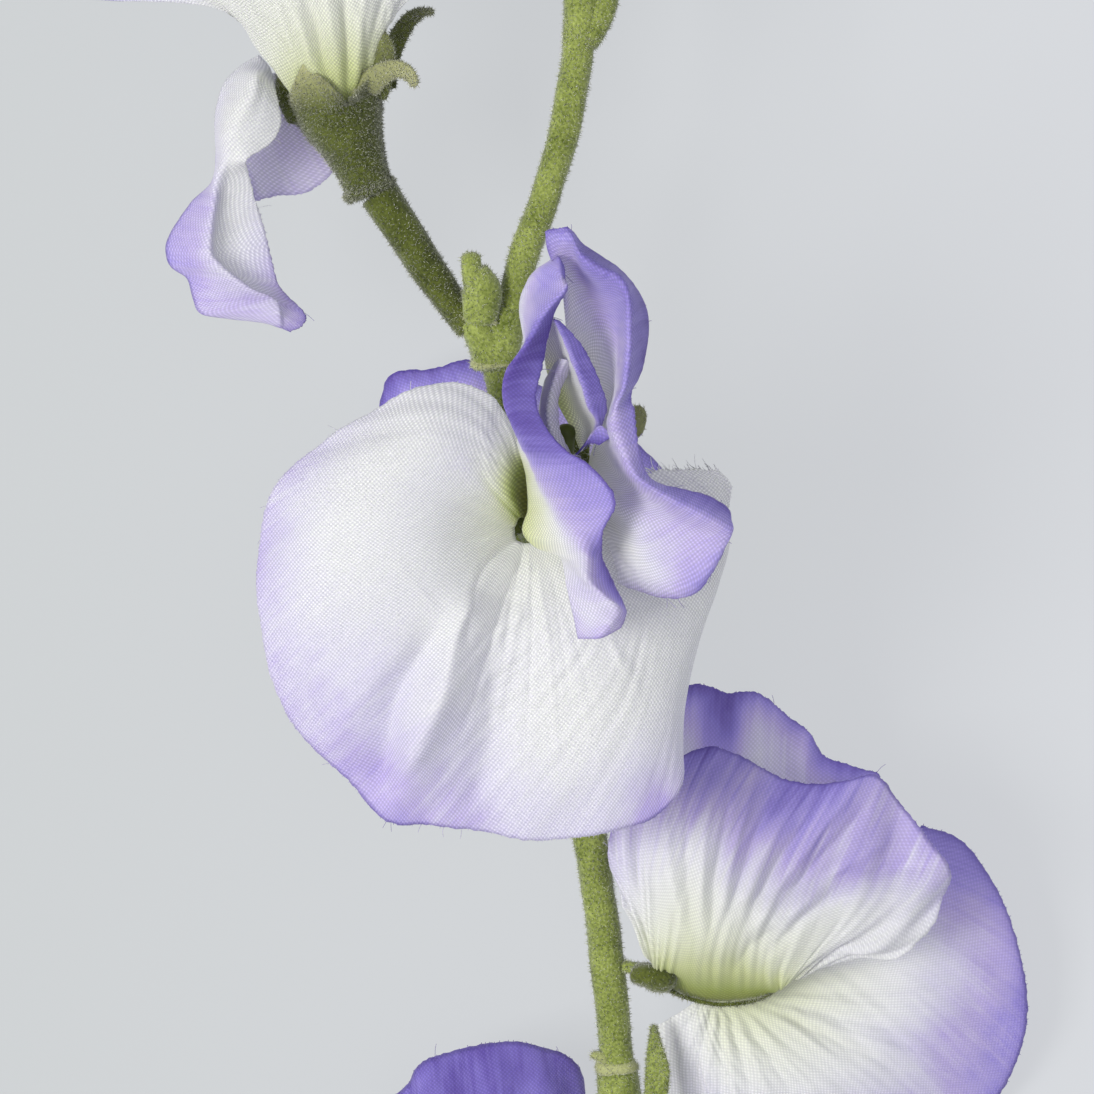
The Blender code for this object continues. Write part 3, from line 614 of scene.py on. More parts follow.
def buildStem():
    shape = newSkin()
    rod(shape, [(13.0, -96.5, 1.95), (11.4, -87, 2.8), (9.7, -76.5, 5.3), (8.2, -65.4, 8.7)],
        (1.7, 1.7, 1.75, 1.8), sides=22, spacing=0.5, round_=0.3)
    flocked("stem_tail", ["stem_tail"], shape, 0.7)
    shape = newSkin()
    rod(shape, [(8.2, -66.0, 8.6), (7.9, -60.5, 10.2), (7.3, -54.6, 12.0), (7.2, -52.6, 12.5)],
        (1.8, 2.2, 2.1, 1.75), round_=0.2)
    rod(shape, [(7.2, -53.9, 12.2), (7.1, -53.2, 12.4), (7.05, -52.5, 12.6)], (2.0, 2.25, 1.9), round_=0.2, pale=0.7,
        lumps=0.2)
    rod(shape, [(6.4, -52.8, 13.2), (5.2, -52.2, 13.6), (4.5, -52.2, 13.6)], (0.7, 0.5, 0.3), sides=12, spacing=0.3,
        round_=0.3, pale=0.5)
    flocked("lower_node", ["lower_node"], shape)
    shape = newSkin()
    rod(shape, [(7.4, -54.4, 12.1), (5.9, -40.3, 15.5), (4.3, -29.3, 17.8), (2.1, -17.3, 19.8),
                (0.1, -5.3, 21.4), (-1.5, 2.7, 22.8), (-2.9, 9.7, 24.8), (-5.3, 19.6, 28.6)],
        (1.75, 1.7, 1.65, 1.6, 1.55, 1.6), sides=26, spacing=0.42, round_=0.3)
    flocked("stem_main", ["stem_main"], shape)
    shape = newSkin()
    rod(shape, [(-5.4, 18.2, 28.3), (-5.8, 20.0, 28.8), (-7.6, 23.4, 29.2)], (1.9, 2.0, 1.75), round_=0.2, seed=2)
    rod(shape, [(-5.0, 18.2, 28.3), (-4.6, 20.4, 28.9), (-3.7, 24.6, 29.1)], (1.9, 2.05, 1.7), round_=0.2, seed=3)
    rod(shape, [(-5.5, 18.4, 28.3), (-5.55, 18.75, 28.4), (-5.6, 19.3, 28.6)], (2.05, 2.3, 2.0), round_=0.1, pale=0.75,
        lumps=0.16, spacing=0.2, sides=34)
    rod(shape, [(-8.9, 22.9, 29.9), (-7.6, 23.3, 30.7), (-6.3, 23.1, 31.0), (-4.9, 22.5, 30.9)], (0.25, 0.3, 0.25),
        sides=10, spacing=0.3, pale=0.7, lumps=0.4, seed=4)
    rod(shape, [(-10.0, 25.1, 29.9), (-9.2, 24.1, 30.2), (-8.6, 23.0, 30.3)], (0.2, 0.25, 0.2), sides=10,
        spacing=0.3, pale=0.7, lumps=0.4, seed=5)
    flocked("fork_node", ["fork_node"], shape)
    shape = newSkin()
    rod(shape, [(-6.7, 22.4, 29.8), (-6.6, 24.0, 30.4), (-6.45, 25.7, 30.9), (-6.9, 27.2, 31.2), (-7.4, 28.0, 31.3)],
        (1.5, 1.75, 2.0, 1.5, 1.0), round_=0.6, lumps=0.14, seed=6)
    rod(shape, [(-7.3, 26.2, 31.3), (-7.6, 28.0, 31.6), (-7.75, 29.8, 31.7)], (1.15, 1.05, 1.0), round_=0.7, seed=7)
    flocked("bud_stub", ["bud_stub"], shape)
    shape = newSkin()
    rod(shape, [(-7.4, 21.9, 28.9), (-9.9, 25.0, 28.9), (-11.8, 27.8, 28.8), (-14.2, 31.4, 28.6),
                (-17.2, 36.2, 28.3)], (1.6, 1.65, 1.85, 2.1), round_=0.3)
    # the left branch wears the darker calyx flock as painted shade
    flocked("left_branch", ["left_branch"], shape, skin="calyx")
    shape = newSkin()
    rod(shape, [(-4.0, 22.6, 29.0), (-2.5, 29, 29.0), (-0.5, 34.5, 29.0), (1.6, 41.5, 28.6), (2.9, 48.5, 28.0),
                (3.4, 53.6, 27.3)], (1.5, 1.5, 1.55, 1.65), round_=0.3)
    flocked("upper_stem", ["upper_stem"], shape)
    shape = newSkin()
    rod(shape, [(3.1, 50.4, 27.7), (3.6, 54.0, 27.2), (3.7, 57.2, 26.7), (4.7, 60.4, 26.1)], (1.5, 1.95, 1.95, 1.6),
        round_=0.3, seed=8)
    rod(shape, [(3.9, 50.4, 27.9), (4.9, 52.6, 27.8), (5.9, 55.2, 27.4), (6.4, 58.6, 26.6)], (0.9, 1.25, 1.3, 1.0),
        round_=0.8, seed=9)
    flocked("top_node", ["top_node"], shape)
    shape = newSkin()
    rod(shape, [(4.6, 58.6, 26.2), (6.3, 64.0, 25.0), (6.0, 68.8, 23.4)], (1.3, 1.2, 1.2), sides=20)
    flocked("tip_stalk", ["tip_stalk"], shape, 0.8)
    shape = newSkin()
    aim = layoutFrame((5.85, 68.2, 23.4), (-0.12, 0.95, -0.28), (0, 0, 1))
    calyxCup(shape, aim, ((1.3, 0.0), (1.8, 1.2), (2.3, 3.0), (2.5, 4.4)),
             [(72 * k + 20, 1.5, 34, 0.4, 0, 0.6) for k in range(5)], 0.35, 60, 36)
    flocked("tip_calyx", ["tip_calyx"], shape, 0.8)
    shape = newSkin()
    rod(shape, [(9.9, -64.8, 12.4), (11.0, -58, 14.4), (11.3, -54.0, 15.0), (11.1, -51.4, 15.2), (10.9, -48.9, 15.1)],
        ((0.9, 0.45), (1.1, 0.5), (1.3, 0.5), (0.8, 0.42), (0.2, 0.25)), flatWay=(1, 0, 0.2), sides=22)
    flocked("bract", ["bract"], shape)


def layoutFrame(base, axis, up):
    # from a blossom's own frame (across, up, forward) to the layout
    forward = Vector(axis).normalized()
    across = Vector(up).cross(forward).normalized()
    rise = forward.cross(across)
    turn = Matrix((across, rise, forward)).transposed().to_4x4()
    return Matrix.Translation(Vector(base)) @ turn


def crown(shape, aim, height, radius, rise, reach, halfWidth, turnBy=0.0, count=5):
    # pointed sepals round a rim
    for k in range(count):
        angle = 2 * math.pi * (k + 0.5) / count + turnBy
        out = Vector((math.cos(angle), math.sin(angle), 0))
        side = Vector((-out.y, out.x, 0))
        foot = out * (radius - 0.3) + Vector((0, 0, height - 1.4))
        belly = out * radius + Vector((0, 0, height))
        middle = out * (radius + reach * 0.4) + Vector((0, 0, height + rise * 0.7))
        point = out * (radius + reach) + Vector((0, 0, height + rise))
        rod(shape, [aim @ p for p in (foot, belly, middle, point)],
            ((halfWidth, 0.3), (halfWidth, 0.3), (halfWidth * 0.65, 0.26), (halfWidth * 0.12, 0.15)),
            sides=16, flatWay=aim.to_3x3() @ side, round_=0.3, pale=lambda t: max(0.0, t * 2 - 1.3))


buildStem()
print("stem ready")


# ---- front blossom, seen face on

def buildFrontBanner():
    ribs = [
        # this first rib lines the slit: dye -1 gives it the green base colour with painted shade
        [(-1.2, 2.6, 37.6, -1.0), (-1.2, 5.2, 37.6, -1.0), (-1.4, 8.0, 38.4, -1.0), (-1.8, 10.6, 40.0, -0.6)],
        [(-2.2, 2.9, 38.6, -1.0), (-2.8, 5.6, 39.4, -0.95), (-3.0, 8.2, 40.4, -0.7), (-2.8, 10.7, 41.0, -0.15)],
        [(-2.6, 3.0, 39.3, -0.9), (-3.8, 5.8, 41.6, -0.7), (-4.1, 9.0, 42.2, -0.3), (-3.7, 12.2, 41.1, 0)],
        [(-2.8, 2.9, 39.4, -0.8), (-5.2, 6.4, 43.0, -0.3), (-5.7, 10.3, 43.4, 0), (-4.8, 13.9, 41.0, 0)],
        [(-2.9, 2.8, 39.5, -0.9), (-6.2, 6.8, 43.6, -0.2), (-6.9, 11.4, 43.8, 0), (-5.8, 15.1, 41.0, 0)],
        [(-3.0, 2.6, 39.6, -0.7), (-7.3, 6.9, 44.3, 0), (-9.2, 12.0, 44.4, 0), (-9.2, 16.4, 40.8, 0.04)],
        [(-3.1, 2.3, 39.6, -0.6), (-8.4, 6.4, 44.7, 0), (-11.6, 11.6, 44.9, 0), (-13.5, 15.7, 40.6, 0.06)],
        [(-3.2, 2.1, 39.6, -0.5), (-9.6, 5.8, 45.1, 0), (-14.4, 10.2, 45.0, 0), (-17.7, 13.4, 40.4, 0.1)],
        [(-3.3, 1.9, 39.6, -0.4), (-10.8, 5.0, 45.4, 0), (-17.2, 8.4, 45.0, 0), (-21.7, 11.1, 40.2, 0.2)],
        [(-3.3, 1.7, 39.6, -0.4), (-11.6, 3.8, 45.7, 0), (-19.4, 6.2, 45.0, 0.02), (-25.1, 8.5, 40.0, 0.3)],
        [(-3.3, 1.5, 39.6, -0.35), (-12.3, 2.4, 45.9, 0), (-21.0, 3.6, 45.0, 0.03), (-27.7, 5.2, 39.8, 0.32)],
        [(-3.3, 1.3, 39.6, -0.35), (-12.6, 0.8, 45.9, 0), (-21.8, 0.4, 44.8, 0.05), (-28.9, 0.7, 39.4, 0.36)],
        [(-3.2, 1.1, 39.6, -0.3), (-12.4, -0.8, 45.8, 0), (-21.9, -2.8, 44.6, 0.06), (-29.0, -3.8, 39.2, 0.36)],
        [(-3.1, 0.9, 39.6, -0.3), (-11.8, -2.6, 45.4, 0), (-21.2, -6.2, 44.2, 0.1), (-28.5, -9.3, 38.8, 0.3)],
        [(-3.0, 0.75, 39.6, -0.25), (-11.0, -4.2, 45.0, 0), (-19.9, -9.4, 43.6, 0.14), (-26.9, -14.8, 38.4, 0.32)],
        [(-2.9, 0.65, 39.6, -0.2), (-9.8, -5.8, 44.6, 0), (-18.0, -12.4, 43.0, 0.2), (-24.7, -18.8, 38.0, 0.36)],
        [(-2.7, 0.55, 39.6, -0.2), (-8.2, -7.2, 44.2, 0), (-14.9, -15.2, 43.0, 0.18), (-20.7, -22.8, 37.8, 0.42)],
        [(-2.5, 0.45, 39.6, -0.2), (-6.6, -8.3, 44.0, 0), (-11.8, -17.8, 42.8, 0.16), (-16.2, -27.5, 37.6, 0.52)],
        [(-2.3, 0.4, 39.6, -0.2), (-4.8, -8.7, 43.2, 0), (-8.4, -18.6, 41.2, 0.16), (-11.7, -27.9, 37.4, 0.44)],
        [(-2.0, 0.4, 39.6, -0.2), (-3.0, -8.9, 42.4, 0), (-5.0, -18.9, 40.3, 0.1), (-6.7, -28.5, 37.0, 0.34)],
        [(-1.7, 0.4, 39.6, -0.2), (-1.2, -8.9, 42.5, 0), (-1.6, -19.2, 40.6, 0.02), (-1.7, -29.4, 37.2, 0.26)],
        [(-1.4, 0.45, 39.6, -0.2), (0.7, -8.7, 42.9, 0), (1.9, -19.0, 41.3, 0), (2.8, -29.1, 37.7, 0.24)],
        [(-1.1, 0.55, 39.6, -0.2), (2.7, -8.3, 43.2, 0), (5.4, -18.2, 42.0, 0), (7.3, -28.3, 38.0, 0.3)],
        [(-0.9, 0.7, 39.6, -0.2), (4.5, -7.4, 43.5, 0), (8.6, -17.0, 42.2, 0), (10.8, -27.1, 38.2, 0.5)],
        [(-0.7, 0.9, 39.6, -0.2), (6.0, -6.0, 43.5, 0), (11.2, -14.4, 41.4, 0), (13.3, -24.0, 38.0, 0.3)],
        [(-0.6, 1.1, 39.6, -0.2), (7.2, -4.2, 43.4, 0), (13.2, -11.0, 40.2, 0), (13.6, -18.2, 35.4, 0.1)],
        [(-0.5, 1.3, 39.6, -0.2), (8.0, -2.2, 43.2, 0), (15.2, -6.8, 38.9, 0), (14.0, -11.8, 33.0, 0.1)],
        [(-0.4, 1.5, 39.7, -0.2), (8.7, -0.2, 43.0, 0), (17.0, -2.6, 38.2, 0), (15.0, -6.6, 31.8, 0.1)],
        [(-0.4, 2.0, 39.8, -0.2), (8.7, 2.2, 42.4, 0), (17.6, 1.6, 38.8, 0), (16.8, -0.6, 32.0, 0)],
        [(-0.5, 2.4, 40.0, -0.3), (8.0, 4.8, 41.4, 0), (14.2, 5.4, 41.2, 0), (18.4, 5.6, 38.6, 0)],
        [(-0.5, 2.6, 40.2, -0.3), (6.5, 6.4, 41.2, 0), (12.0, 7.7, 41.6, 0), (17.2, 7.7, 39.6, 0)],
    ]
    creases = [
        ([(-12.5, -8.5), (-17.5, -13.5), (-20.2, -17.3), (-22.5, -21.0)], 0.6, 2.2),
        ([(-10.5, -7.5), (-15.0, -14.3), (-16.4, -19.3), (-17.8, -25.5)], -1.7, 1.8),
        ([(-7.0, -4.0), (-9.0, -8.5), (-10.2, -13.7), (-12.3, -18.3), (-14.2, -23.0)], 1.4, 1.3),
        ([(-3.0, -2.0), (-5.0, -9.3), (-5.6, -19.3), (-8.0, -27.0)], -1.2, 2.6),
        ([(2.0, -8.0), (4.3, -15.0), (6.0, -26.0)], 0.4, 2.8),
        ([(-2.6, 1.1), (-6.2, -2.1), (-7.7, -6.5), (-8.2, -10.0)], -0.3, 0.45),
        ([(-2.3, 0.5), (-3.3, -6.5), (-4.0, -11.0)], -0.22, 0.35),
        ([(-1.8, 0.0), (-2.0, -4.5), (-3.0, -8.0)], 0.2, 0.3),
        ([(-0.9, -1.5), (-0.4, -8.0), (-0.2, -14.0)], 0.16, 0.3),
        ([(0.6, -3.5), (1.4, -9.0), (2.2, -15.0)], -0.16, 0.35),
        ([(6.3, -9.4), (7.0, -11.0), (7.6, -12.6)], 0.22, 0.3),
        ([(-15.4, -1.1), (-13.2, -3.8), (-10.6, -6.8)], 0.13, 0.25),
        ([(-6.5, 0.6), (-4.6, 1.3), (-2.6, 1.6)], 0.15, 0.28),
        ([(-12.2, -12.0), (-13.6, -16.0), (-14.4, -19.5)], 0.25, 0.4),
        ([(-10.8, -13.5), (-12.0, -17.0), (-13.2, -20.5)], -0.2, 0.35),
    ]
    pleats = [(0.60, -0.2, 0.35, 0.05, 0.75), (0.63, 0.18, 0.3, 0.1, 0.7), (0.66, -0.18, 0.3, 0.1, 0.75),
              (0.69, 0.16, 0.3, 0.15, 0.8), (0.73, -0.14, 0.4, 0.1, 0.75), (0.78, 0.12, 0.4, 0.2, 0.7)]
    petal("front_banner", "front_banner", "petal_white", ribs, across=340, along=84, creases=creases,
          pleats=pleats, ruffle=0.2, ruffleLength=13.0, finePleats=0.14, pleatZone=(0.54, 0.84), rimZone=(0.46, 0.84),
          weaveTurn=33.0,
          edges=(("top", 0.26, 12), ("right", 0.7, 24)), raggedSide=3.0,
          seed=11)


def buildFrontWings():
    left = [
        [(0.9, 28.6, 56, 0.5), (1.1, 28.6, 57, 0.5), (1.3, 28.3, 57.5, 0.7), (1.6, 27.7, 57, 0.9)],
        [(-1.4, 27.0, 52, 0.3), (-0.1, 27.4, 56, 0.6), (1.2, 26.9, 58.5, 0.6), (1.8, 26.2, 58, 0.8)],
        [(-2.4, 25.2, 50, 0.2), (-0.4, 25.6, 55, 0.6), (1.6, 25.5, 58.6, 0.55), (1.9, 25.2, 58, 0.9)],
        [(-2.7, 23.3, 49, 0.15), (-1.6, 23.1, 55, 0.5), (-0.5, 22.7, 57.6, 0.75), (0.7, 23.1, 56, 1)],
        [(-2.2, 20.5, 48, 0.15), (-2.1, 20.3, 54, 0.45), (-1.9, 20.1, 57, 0.9), (-0.1, 19.9, 55, 1)],
        [(-1.6, 17.8, 47, 0.3), (-3.2, 17.5, 53, 0.6), (-3.8, 17.3, 55.5, 0.95), (-0.6, 17.2, 54.6, 0.85)],
        [(-1.6, 15.1, 46, 0.3), (-3.6, 14.9, 51.5, 0.7), (-4.2, 14.8, 54.3, 0.95), (-1.1, 14.5, 54, 0.85)],
        [(-2.1, 12.4, 44.5, 0.1), (-3.0, 12.2, 50, 0.6), (-3.3, 12.1, 53, 0.9), (-0.1, 11.8, 53.4, 0.85)],
        [(-2.9, 10.5, 43, -0.1), (-2.6, 10.3, 47, 0.3), (-2.1, 10.0, 51, 0.8), (1.9, 9.5, 53.2, 0.85)],
        [(-2.3, 8.3, 42.4, -0.5), (-1.7, 8.3, 46, -0.1), (-1.0, 8.2, 49.4, 0.6), (3.7, 8.4, 54, 0.75)],
        [(-1.9, 5.8, 42, -0.5), (-0.9, 5.8, 45.5, -0.2), (0.2, 5.8, 48.8, 0.5), (6.1, 6.0, 53.5, 0.65)],
        [(-1.9, 3.7, 42, -0.55), (-0.2, 3.7, 45.5, -0.25), (1.5, 3.7, 49, 0.45), (6.7, 4.0, 52.5, 0.6)],
        [(-2.4, 1.6, 42.4, -0.6), (0.2, 1.2, 46, -0.25), (2.7, 1.6, 49.6, 0.4), (5.6, 1.6, 50.8, 0.65)],
        [(-1.1, 0.0, 43.2, -0.5), (1.3, -0.3, 46.8, -0.1), (3.7, -0.5, 50.2, 0.35), (5.5, -1.0, 48.4, 0.95)],
        [(1.3, -0.9, 45.4, 0), (2.6, -2.0, 48.2, 0.15), (4.0, -3.1, 50.8, 0.3), (6.5, -3.4, 48, 1)],
        [(2.0, -4.1, 47.4, 0.2), (3.7, -4.5, 49.8, 0.25), (5.6, -4.7, 51.6, 0.35), (7.5, -5.5, 49, 0.85)],
        [(2.7, -7.0, 48.2, 0.3), (4.6, -6.6, 50.6, 0.2), (6.8, -6.3, 52, 0.35), (7.8, -6.7, 50.2, 0.55)],
        [(3.1, -9.1, 48.4, 0.4), (4.2, -9.1, 50, 0.35), (5.3, -9.0, 51, 0.4), (7.3, -8.0, 50.4, 0.45)],
    ]
    petal("front_wing_left", "front_wing_left", "petal_lilac", left, across=150, along=46, edges=(("top", 0.2, 4),),
          finePleats=0.02, crinkle=0.03, strip=True, rims="top left right bottom", seed=21)
    right = [
        [(1.9, 21.5, 49, 0), (1.5, 25.4, 53, 0.3), (0.1, 29.0, 57.5, 0.5), (-0.2, 31.0, 58, 0.7)],
        [(2.3, 21.0, 48.5, 0), (2.2, 25.4, 52, 0.1), (1.3, 29.5, 57.5, 0.5), (0.9, 31.3, 58, 0.7)],
        [(2.8, 20.5, 48, 0), (3.2, 24.9, 51, 0.25), (2.5, 29.6, 58, 0.55), (2.2, 31.3, 58, 0.75)],
        [(3.3, 20.0, 47.6, 0), (4.2, 24.4, 50.6, 0.35), (3.5, 28.1, 58, 0.7), (3.4, 29.9, 56, 0.95)],
        [(3.8, 19.4, 47.2, 0), (5.2, 23.3, 50.4, 0.4), (5.2, 27.0, 58, 0.75), (5.5, 28.5, 54.5, 1)],
        [(4.3, 18.6, 46.8, 0), (6.2, 21.9, 50.4, 0.4), (6.8, 26.3, 58, 0.75), (7.2, 27.3, 54, 1)],
        [(4.7, 17.4, 46.4, 0), (6.7, 20.4, 50.4, 0.4), (7.8, 24.8, 58, 0.75), (8.7, 25.6, 53.5, 1)],
        [(5.0, 16.2, 46, 0), (6.8, 18.5, 50.2, 0.3), (8.0, 22.5, 57.6, 0.7), (9.9, 23.2, 52.5, 1)],
        [(5.2, 14.8, 45.6, 0), (6.7, 16.5, 49.8, 0.2), (8.0, 19.4, 57, 0.65), (9.9, 20.5, 52, 0.95)],
        [(5.3, 13.6, 45.2, 0), (6.5, 14.8, 49.4, 0.12), (7.6, 16.0, 56, 0.6), (9.3, 17.4, 52.5, 0.95)],
        [(5.3, 12.6, 44.8, 0), (6.1, 13.4, 48.8, 0.1), (6.8, 14.0, 54.8, 0.45), (8.3, 15.2, 53, 0.8)],
        [(5.1, 11.7, 44.2, 0), (5.8, 12.2, 47.6, 0.1), (6.4, 12.4, 53.6, 0.4), (8.6, 13.4, 53, 0.7)],
        [(4.9, 10.9, 43.6, -0.1), (5.8, 11.0, 46.6, 0.05), (6.6, 10.9, 52.8, 0.35), (8.8, 11.5, 52.4, 0.65)],
        [(4.7, 10.1, 43.2, -0.15), (6.0, 9.6, 46.4, 0.05), (7.4, 9.1, 52.4, 0.4), (9.2, 9.0, 51.6, 0.6)],
        [(4.5, 9.5, 43, -0.2), (6.4, 8.1, 46.6, 0), (8.5, 7.1, 52.2, 0.5), (10.3, 6.7, 50.8, 0.7)],
        [(4.3, 8.9, 42.8, -0.25), (7.1, 6.7, 47, 0.15), (10.7, 5.4, 52, 0.5), (12.9, 5.8, 50, 0.85)],
        [(4.2, 8.3, 42.8, -0.3), (7.7, 5.2, 47.2, 0.2), (14.1, 3.5, 51.6, 0.5), (15.8, 5.1, 49.2, 0.9)],
        [(4.1, 7.7, 42.8, -0.3), (8.4, 3.7, 47.4, 0.25), (17.1, 1.9, 51, 0.55), (17.9, 3.8, 48.6, 0.95)],
        [(4.0, 7.3, 42.8, -0.3), (9.0, 2.2, 47.4, 0.25), (17.4, 1.1, 50.6, 0.5), (18.1, 1.9, 49.4, 0.8)],
        [(4.0, 6.9, 43, -0.3), (9.5, 0.7, 47.2, 0.2), (16.3, -0.5, 50, 0.5), (17.1, -1.2, 49.4, 0.7)],
        [(4.1, 6.4, 43.2, -0.3), (9.6, -0.5, 47, 0.15), (15.0, -2.5, 49, 0.5), (15.7, -3.6, 48.2, 0.7)],
        [(4.3, 5.7, 43.6, -0.3), (9.2, -1.5, 46.6, 0.08), (13.0, -3.9, 47.8, 0.4), (14.0, -4.9, 47, 0.55)],
        [(4.6, 4.7, 44, -0.2), (8.4, -1.8, 46.2, 0.08), (10.7, -4.0, 46.8, 0.3), (11.6, -5.0, 46, 0.45)],
        [(5.1, 3.2, 44.4, -0.2), (7.5, -1.3, 45.8, 0.08), (8.4, -3.2, 46, 0.2), (8.9, -4.3, 45.4, 0.35)],
        [(5.6, 1.7, 44.6, -0.1), (6.5, -0.8, 45.4, 0.05), (6.9, -2.3, 45.4, 0.1), (7.1, -3.6, 45, 0.2)],
    ]
    petal("front_wing_right", "front_wing_right", "petal_lilac", right, across=190, along=50, edges=(("top", 0.2, 12),),
          finePleats=0.02, crinkle=0.03, strip=True, seed=31)


def buildFrontKeel():
    left = [
        [(0.9, 18.3, 50, 0), (1.3, 18.6, 52, 0.1), (1.8, 18.5, 53, 0.2), (2.3, 18.3, 52.6, 0.2)],
        [(-0.1, 16.6, 47, 0), (0.4, 17.1, 50, 0.1), (1.0, 17.1, 52, 0.35), (2.0, 17.1, 51, 0.3)],
        [(-0.6, 14.6, 45, -0.1), (-0.4, 15.0, 48, 0.1), (0.2, 14.9, 51, 0.1), (1.2, 15.2, 50, 0.3)],
        [(-0.7, 12.5, 43.6, -0.2), (-0.5, 12.6, 47, 0.25), (0.0, 12.6, 50, 0.1), (1.1, 12.7, 49, 0.3)],
        [(-0.1, 10.7, 43, -0.3), (0.2, 10.8, 46.4, 0.1), (0.7, 10.6, 49, 0.1), (1.6, 10.7, 48, 0.2)],
        [(1.5, 9.1, 43, -0.3), (1.6, 9.3, 45.6, 0.1), (1.9, 8.9, 47.4, 0.1), (2.7, 8.7, 46.6, 0.5)],
    ]
    petal("front_keel_left", "front_keel_left", "petal_lilac", left, across=44, along=26, finePleats=0.02, strip=True, seed=41)
    right = [
        [(0.4, 22.2, 53, 0), (0.6, 22.5, 55, 0.1), (0.7, 22.4, 55.8, 0.4), (0.8, 22.4, 56, 0.7),
         (1.2, 22.3, 55.6, 0.7)],
        [(-0.1, 20.1, 50, -0.25), (0.9, 20.4, 52, -0.1), (1.6, 20.4, 54.2, 0.05), (1.8, 20.4, 55, 0.7),
         (3.0, 20.4, 54, 0.7)],
        [(-0.1, 18.0, 47, -0.5), (1.3, 18.2, 49, -0.25), (2.4, 18.2, 53.2, 0), (2.7, 18.2, 54.4, 0.7),
         (4.2, 18.5, 53, 0.7)],
        [(0.6, 15.8, 44.6, -0.75), (2.0, 16.0, 46, -0.4), (3.3, 16.0, 51.8, 0), (3.6, 16.0, 53.4, 0.7),
         (5.2, 16.3, 52, 0.7)],
        [(1.3, 13.9, 43.4, -0.75), (2.7, 14.0, 44.4, -0.4), (3.9, 14.0, 50.2, 0), (4.2, 14.0, 52, 0.7),
         (5.9, 14.1, 50.6, 0.7)],
        [(2.5, 11.7, 43, -0.6), (3.7, 12.1, 44, -0.2), (4.7, 12.3, 48.6, 0), (5.0, 12.4, 50, 0.7),
         (5.5, 12.3, 49.4, 0.7)],
        [(3.4, 9.5, 43, -0.5), (3.8, 10.1, 43.6, -0.1), (4.1, 10.5, 45.4, 0.1), (4.3, 10.6, 46, 0.7),
         (4.7, 10.8, 46.4, 0.7)],
    ]
    petal("front_keel_right", "front_keel_right", "petal_violet", right, across=60, along=44, finePleats=0.03,
          strip=True, seed=43)
    tab = [
        [(4.0, 10.6, 50.2, 0.5), (3.1, 9.4, 49.4, 0.8), (2.6, 8.9, 48.8, 0.9)],
        [(5.2, 12.0, 50.8, 0.6), (4.5, 10.8, 50.2, 0.85), (4.1, 10.2, 49.8, 0.9)],
        [(6.5, 10.9, 51, 0.7), (5.8, 10.5, 50.6, 0.85), (5.2, 10.1, 50.2, 0.9)],
    ]
    petal("front_keel_tab", None, "petal_violet", tab, across=20, along=10, crinkle=0.01, edges=(("top", 0.25, 3),), seed=45)
    shape = newSkin()
    rod(shape, [(1.0, 5.6, 37.2), (1.5, 8.6, 42.0), (2.0, 12.0, 46.0)], (1.0, 1.0, 0.95), sides=20, spacing=0.5,
        round_=1.0)
    mesh = bpy.data.meshes.new("front_receptacle")
    shape.to_mesh(mesh)
    shape.free()
    mesh.shade_smooth()
    addPiece("front_receptacle", mesh, throatFinish, ["front_receptacle"])


def mouldedThroat(name):
    core = Finish(name, Roughness=0.5, Specular_IOR_Level=0.4)
    where = core.node("ShaderNodeTexCoord", output="Object")
    patch = core.noise(where, 500.0, 3.0)
    colour = core.mix(patch, tint("2c3408"), tint("5d6a1c"))
    return core.wear(Base_Color=colour, Normal=core.bump(patch, 0.1 * mm))


throatFinish = mouldedThroat("mouldedThroat")


def buildFrontCalyx():
    shape = newSkin()
    rod(shape, [(-0.9, 3.4, 25.4), (-0.1, 4.3, 26.8), (0.6, 5.1, 29.0)], (1.25, 1.25, 1.35), sides=20)
    flocked("front_pedicel", ["front_pedicel"], shape, 0.6)
    shape = newSkin()
    base, axis, up = (0.9, 5.4, 28.8), (0.04, 0.03, 1.0), (0.6, 0.8, 0.0)
    goblet(shape, base, axis, up, ((1.2, 0.0), (2.0, 1.2), (3.4, 4.0), (4.5, 7.6), (4.6, 8.8), (4.1, 8.6),
                                   (3.2, 6.6), (0.8, 5.8)))
    crown(shape, layoutFrame(base, axis, up), 8.4, 4.4, 1.2, 4.4, 1.7)
    rod(shape, [(8.2, 11.0, 39.5), (8.9, 13.0, 40.0), (9.4, 14.1, 40.4)], ((1.2, 0.4), (1.1, 0.4), (0.5, 0.3)),
        flatWay=(1, -0.4, 0), sides=16, pale=0.5)
    flocked("front_calyx", ["front_calyx"], shape, 0.6, skin="calyx")


buildFrontBanner()
buildFrontWings()
buildFrontKeel()
buildFrontCalyx()
print("front blossom ready")


# ---- upper-left blossom, seen from behind

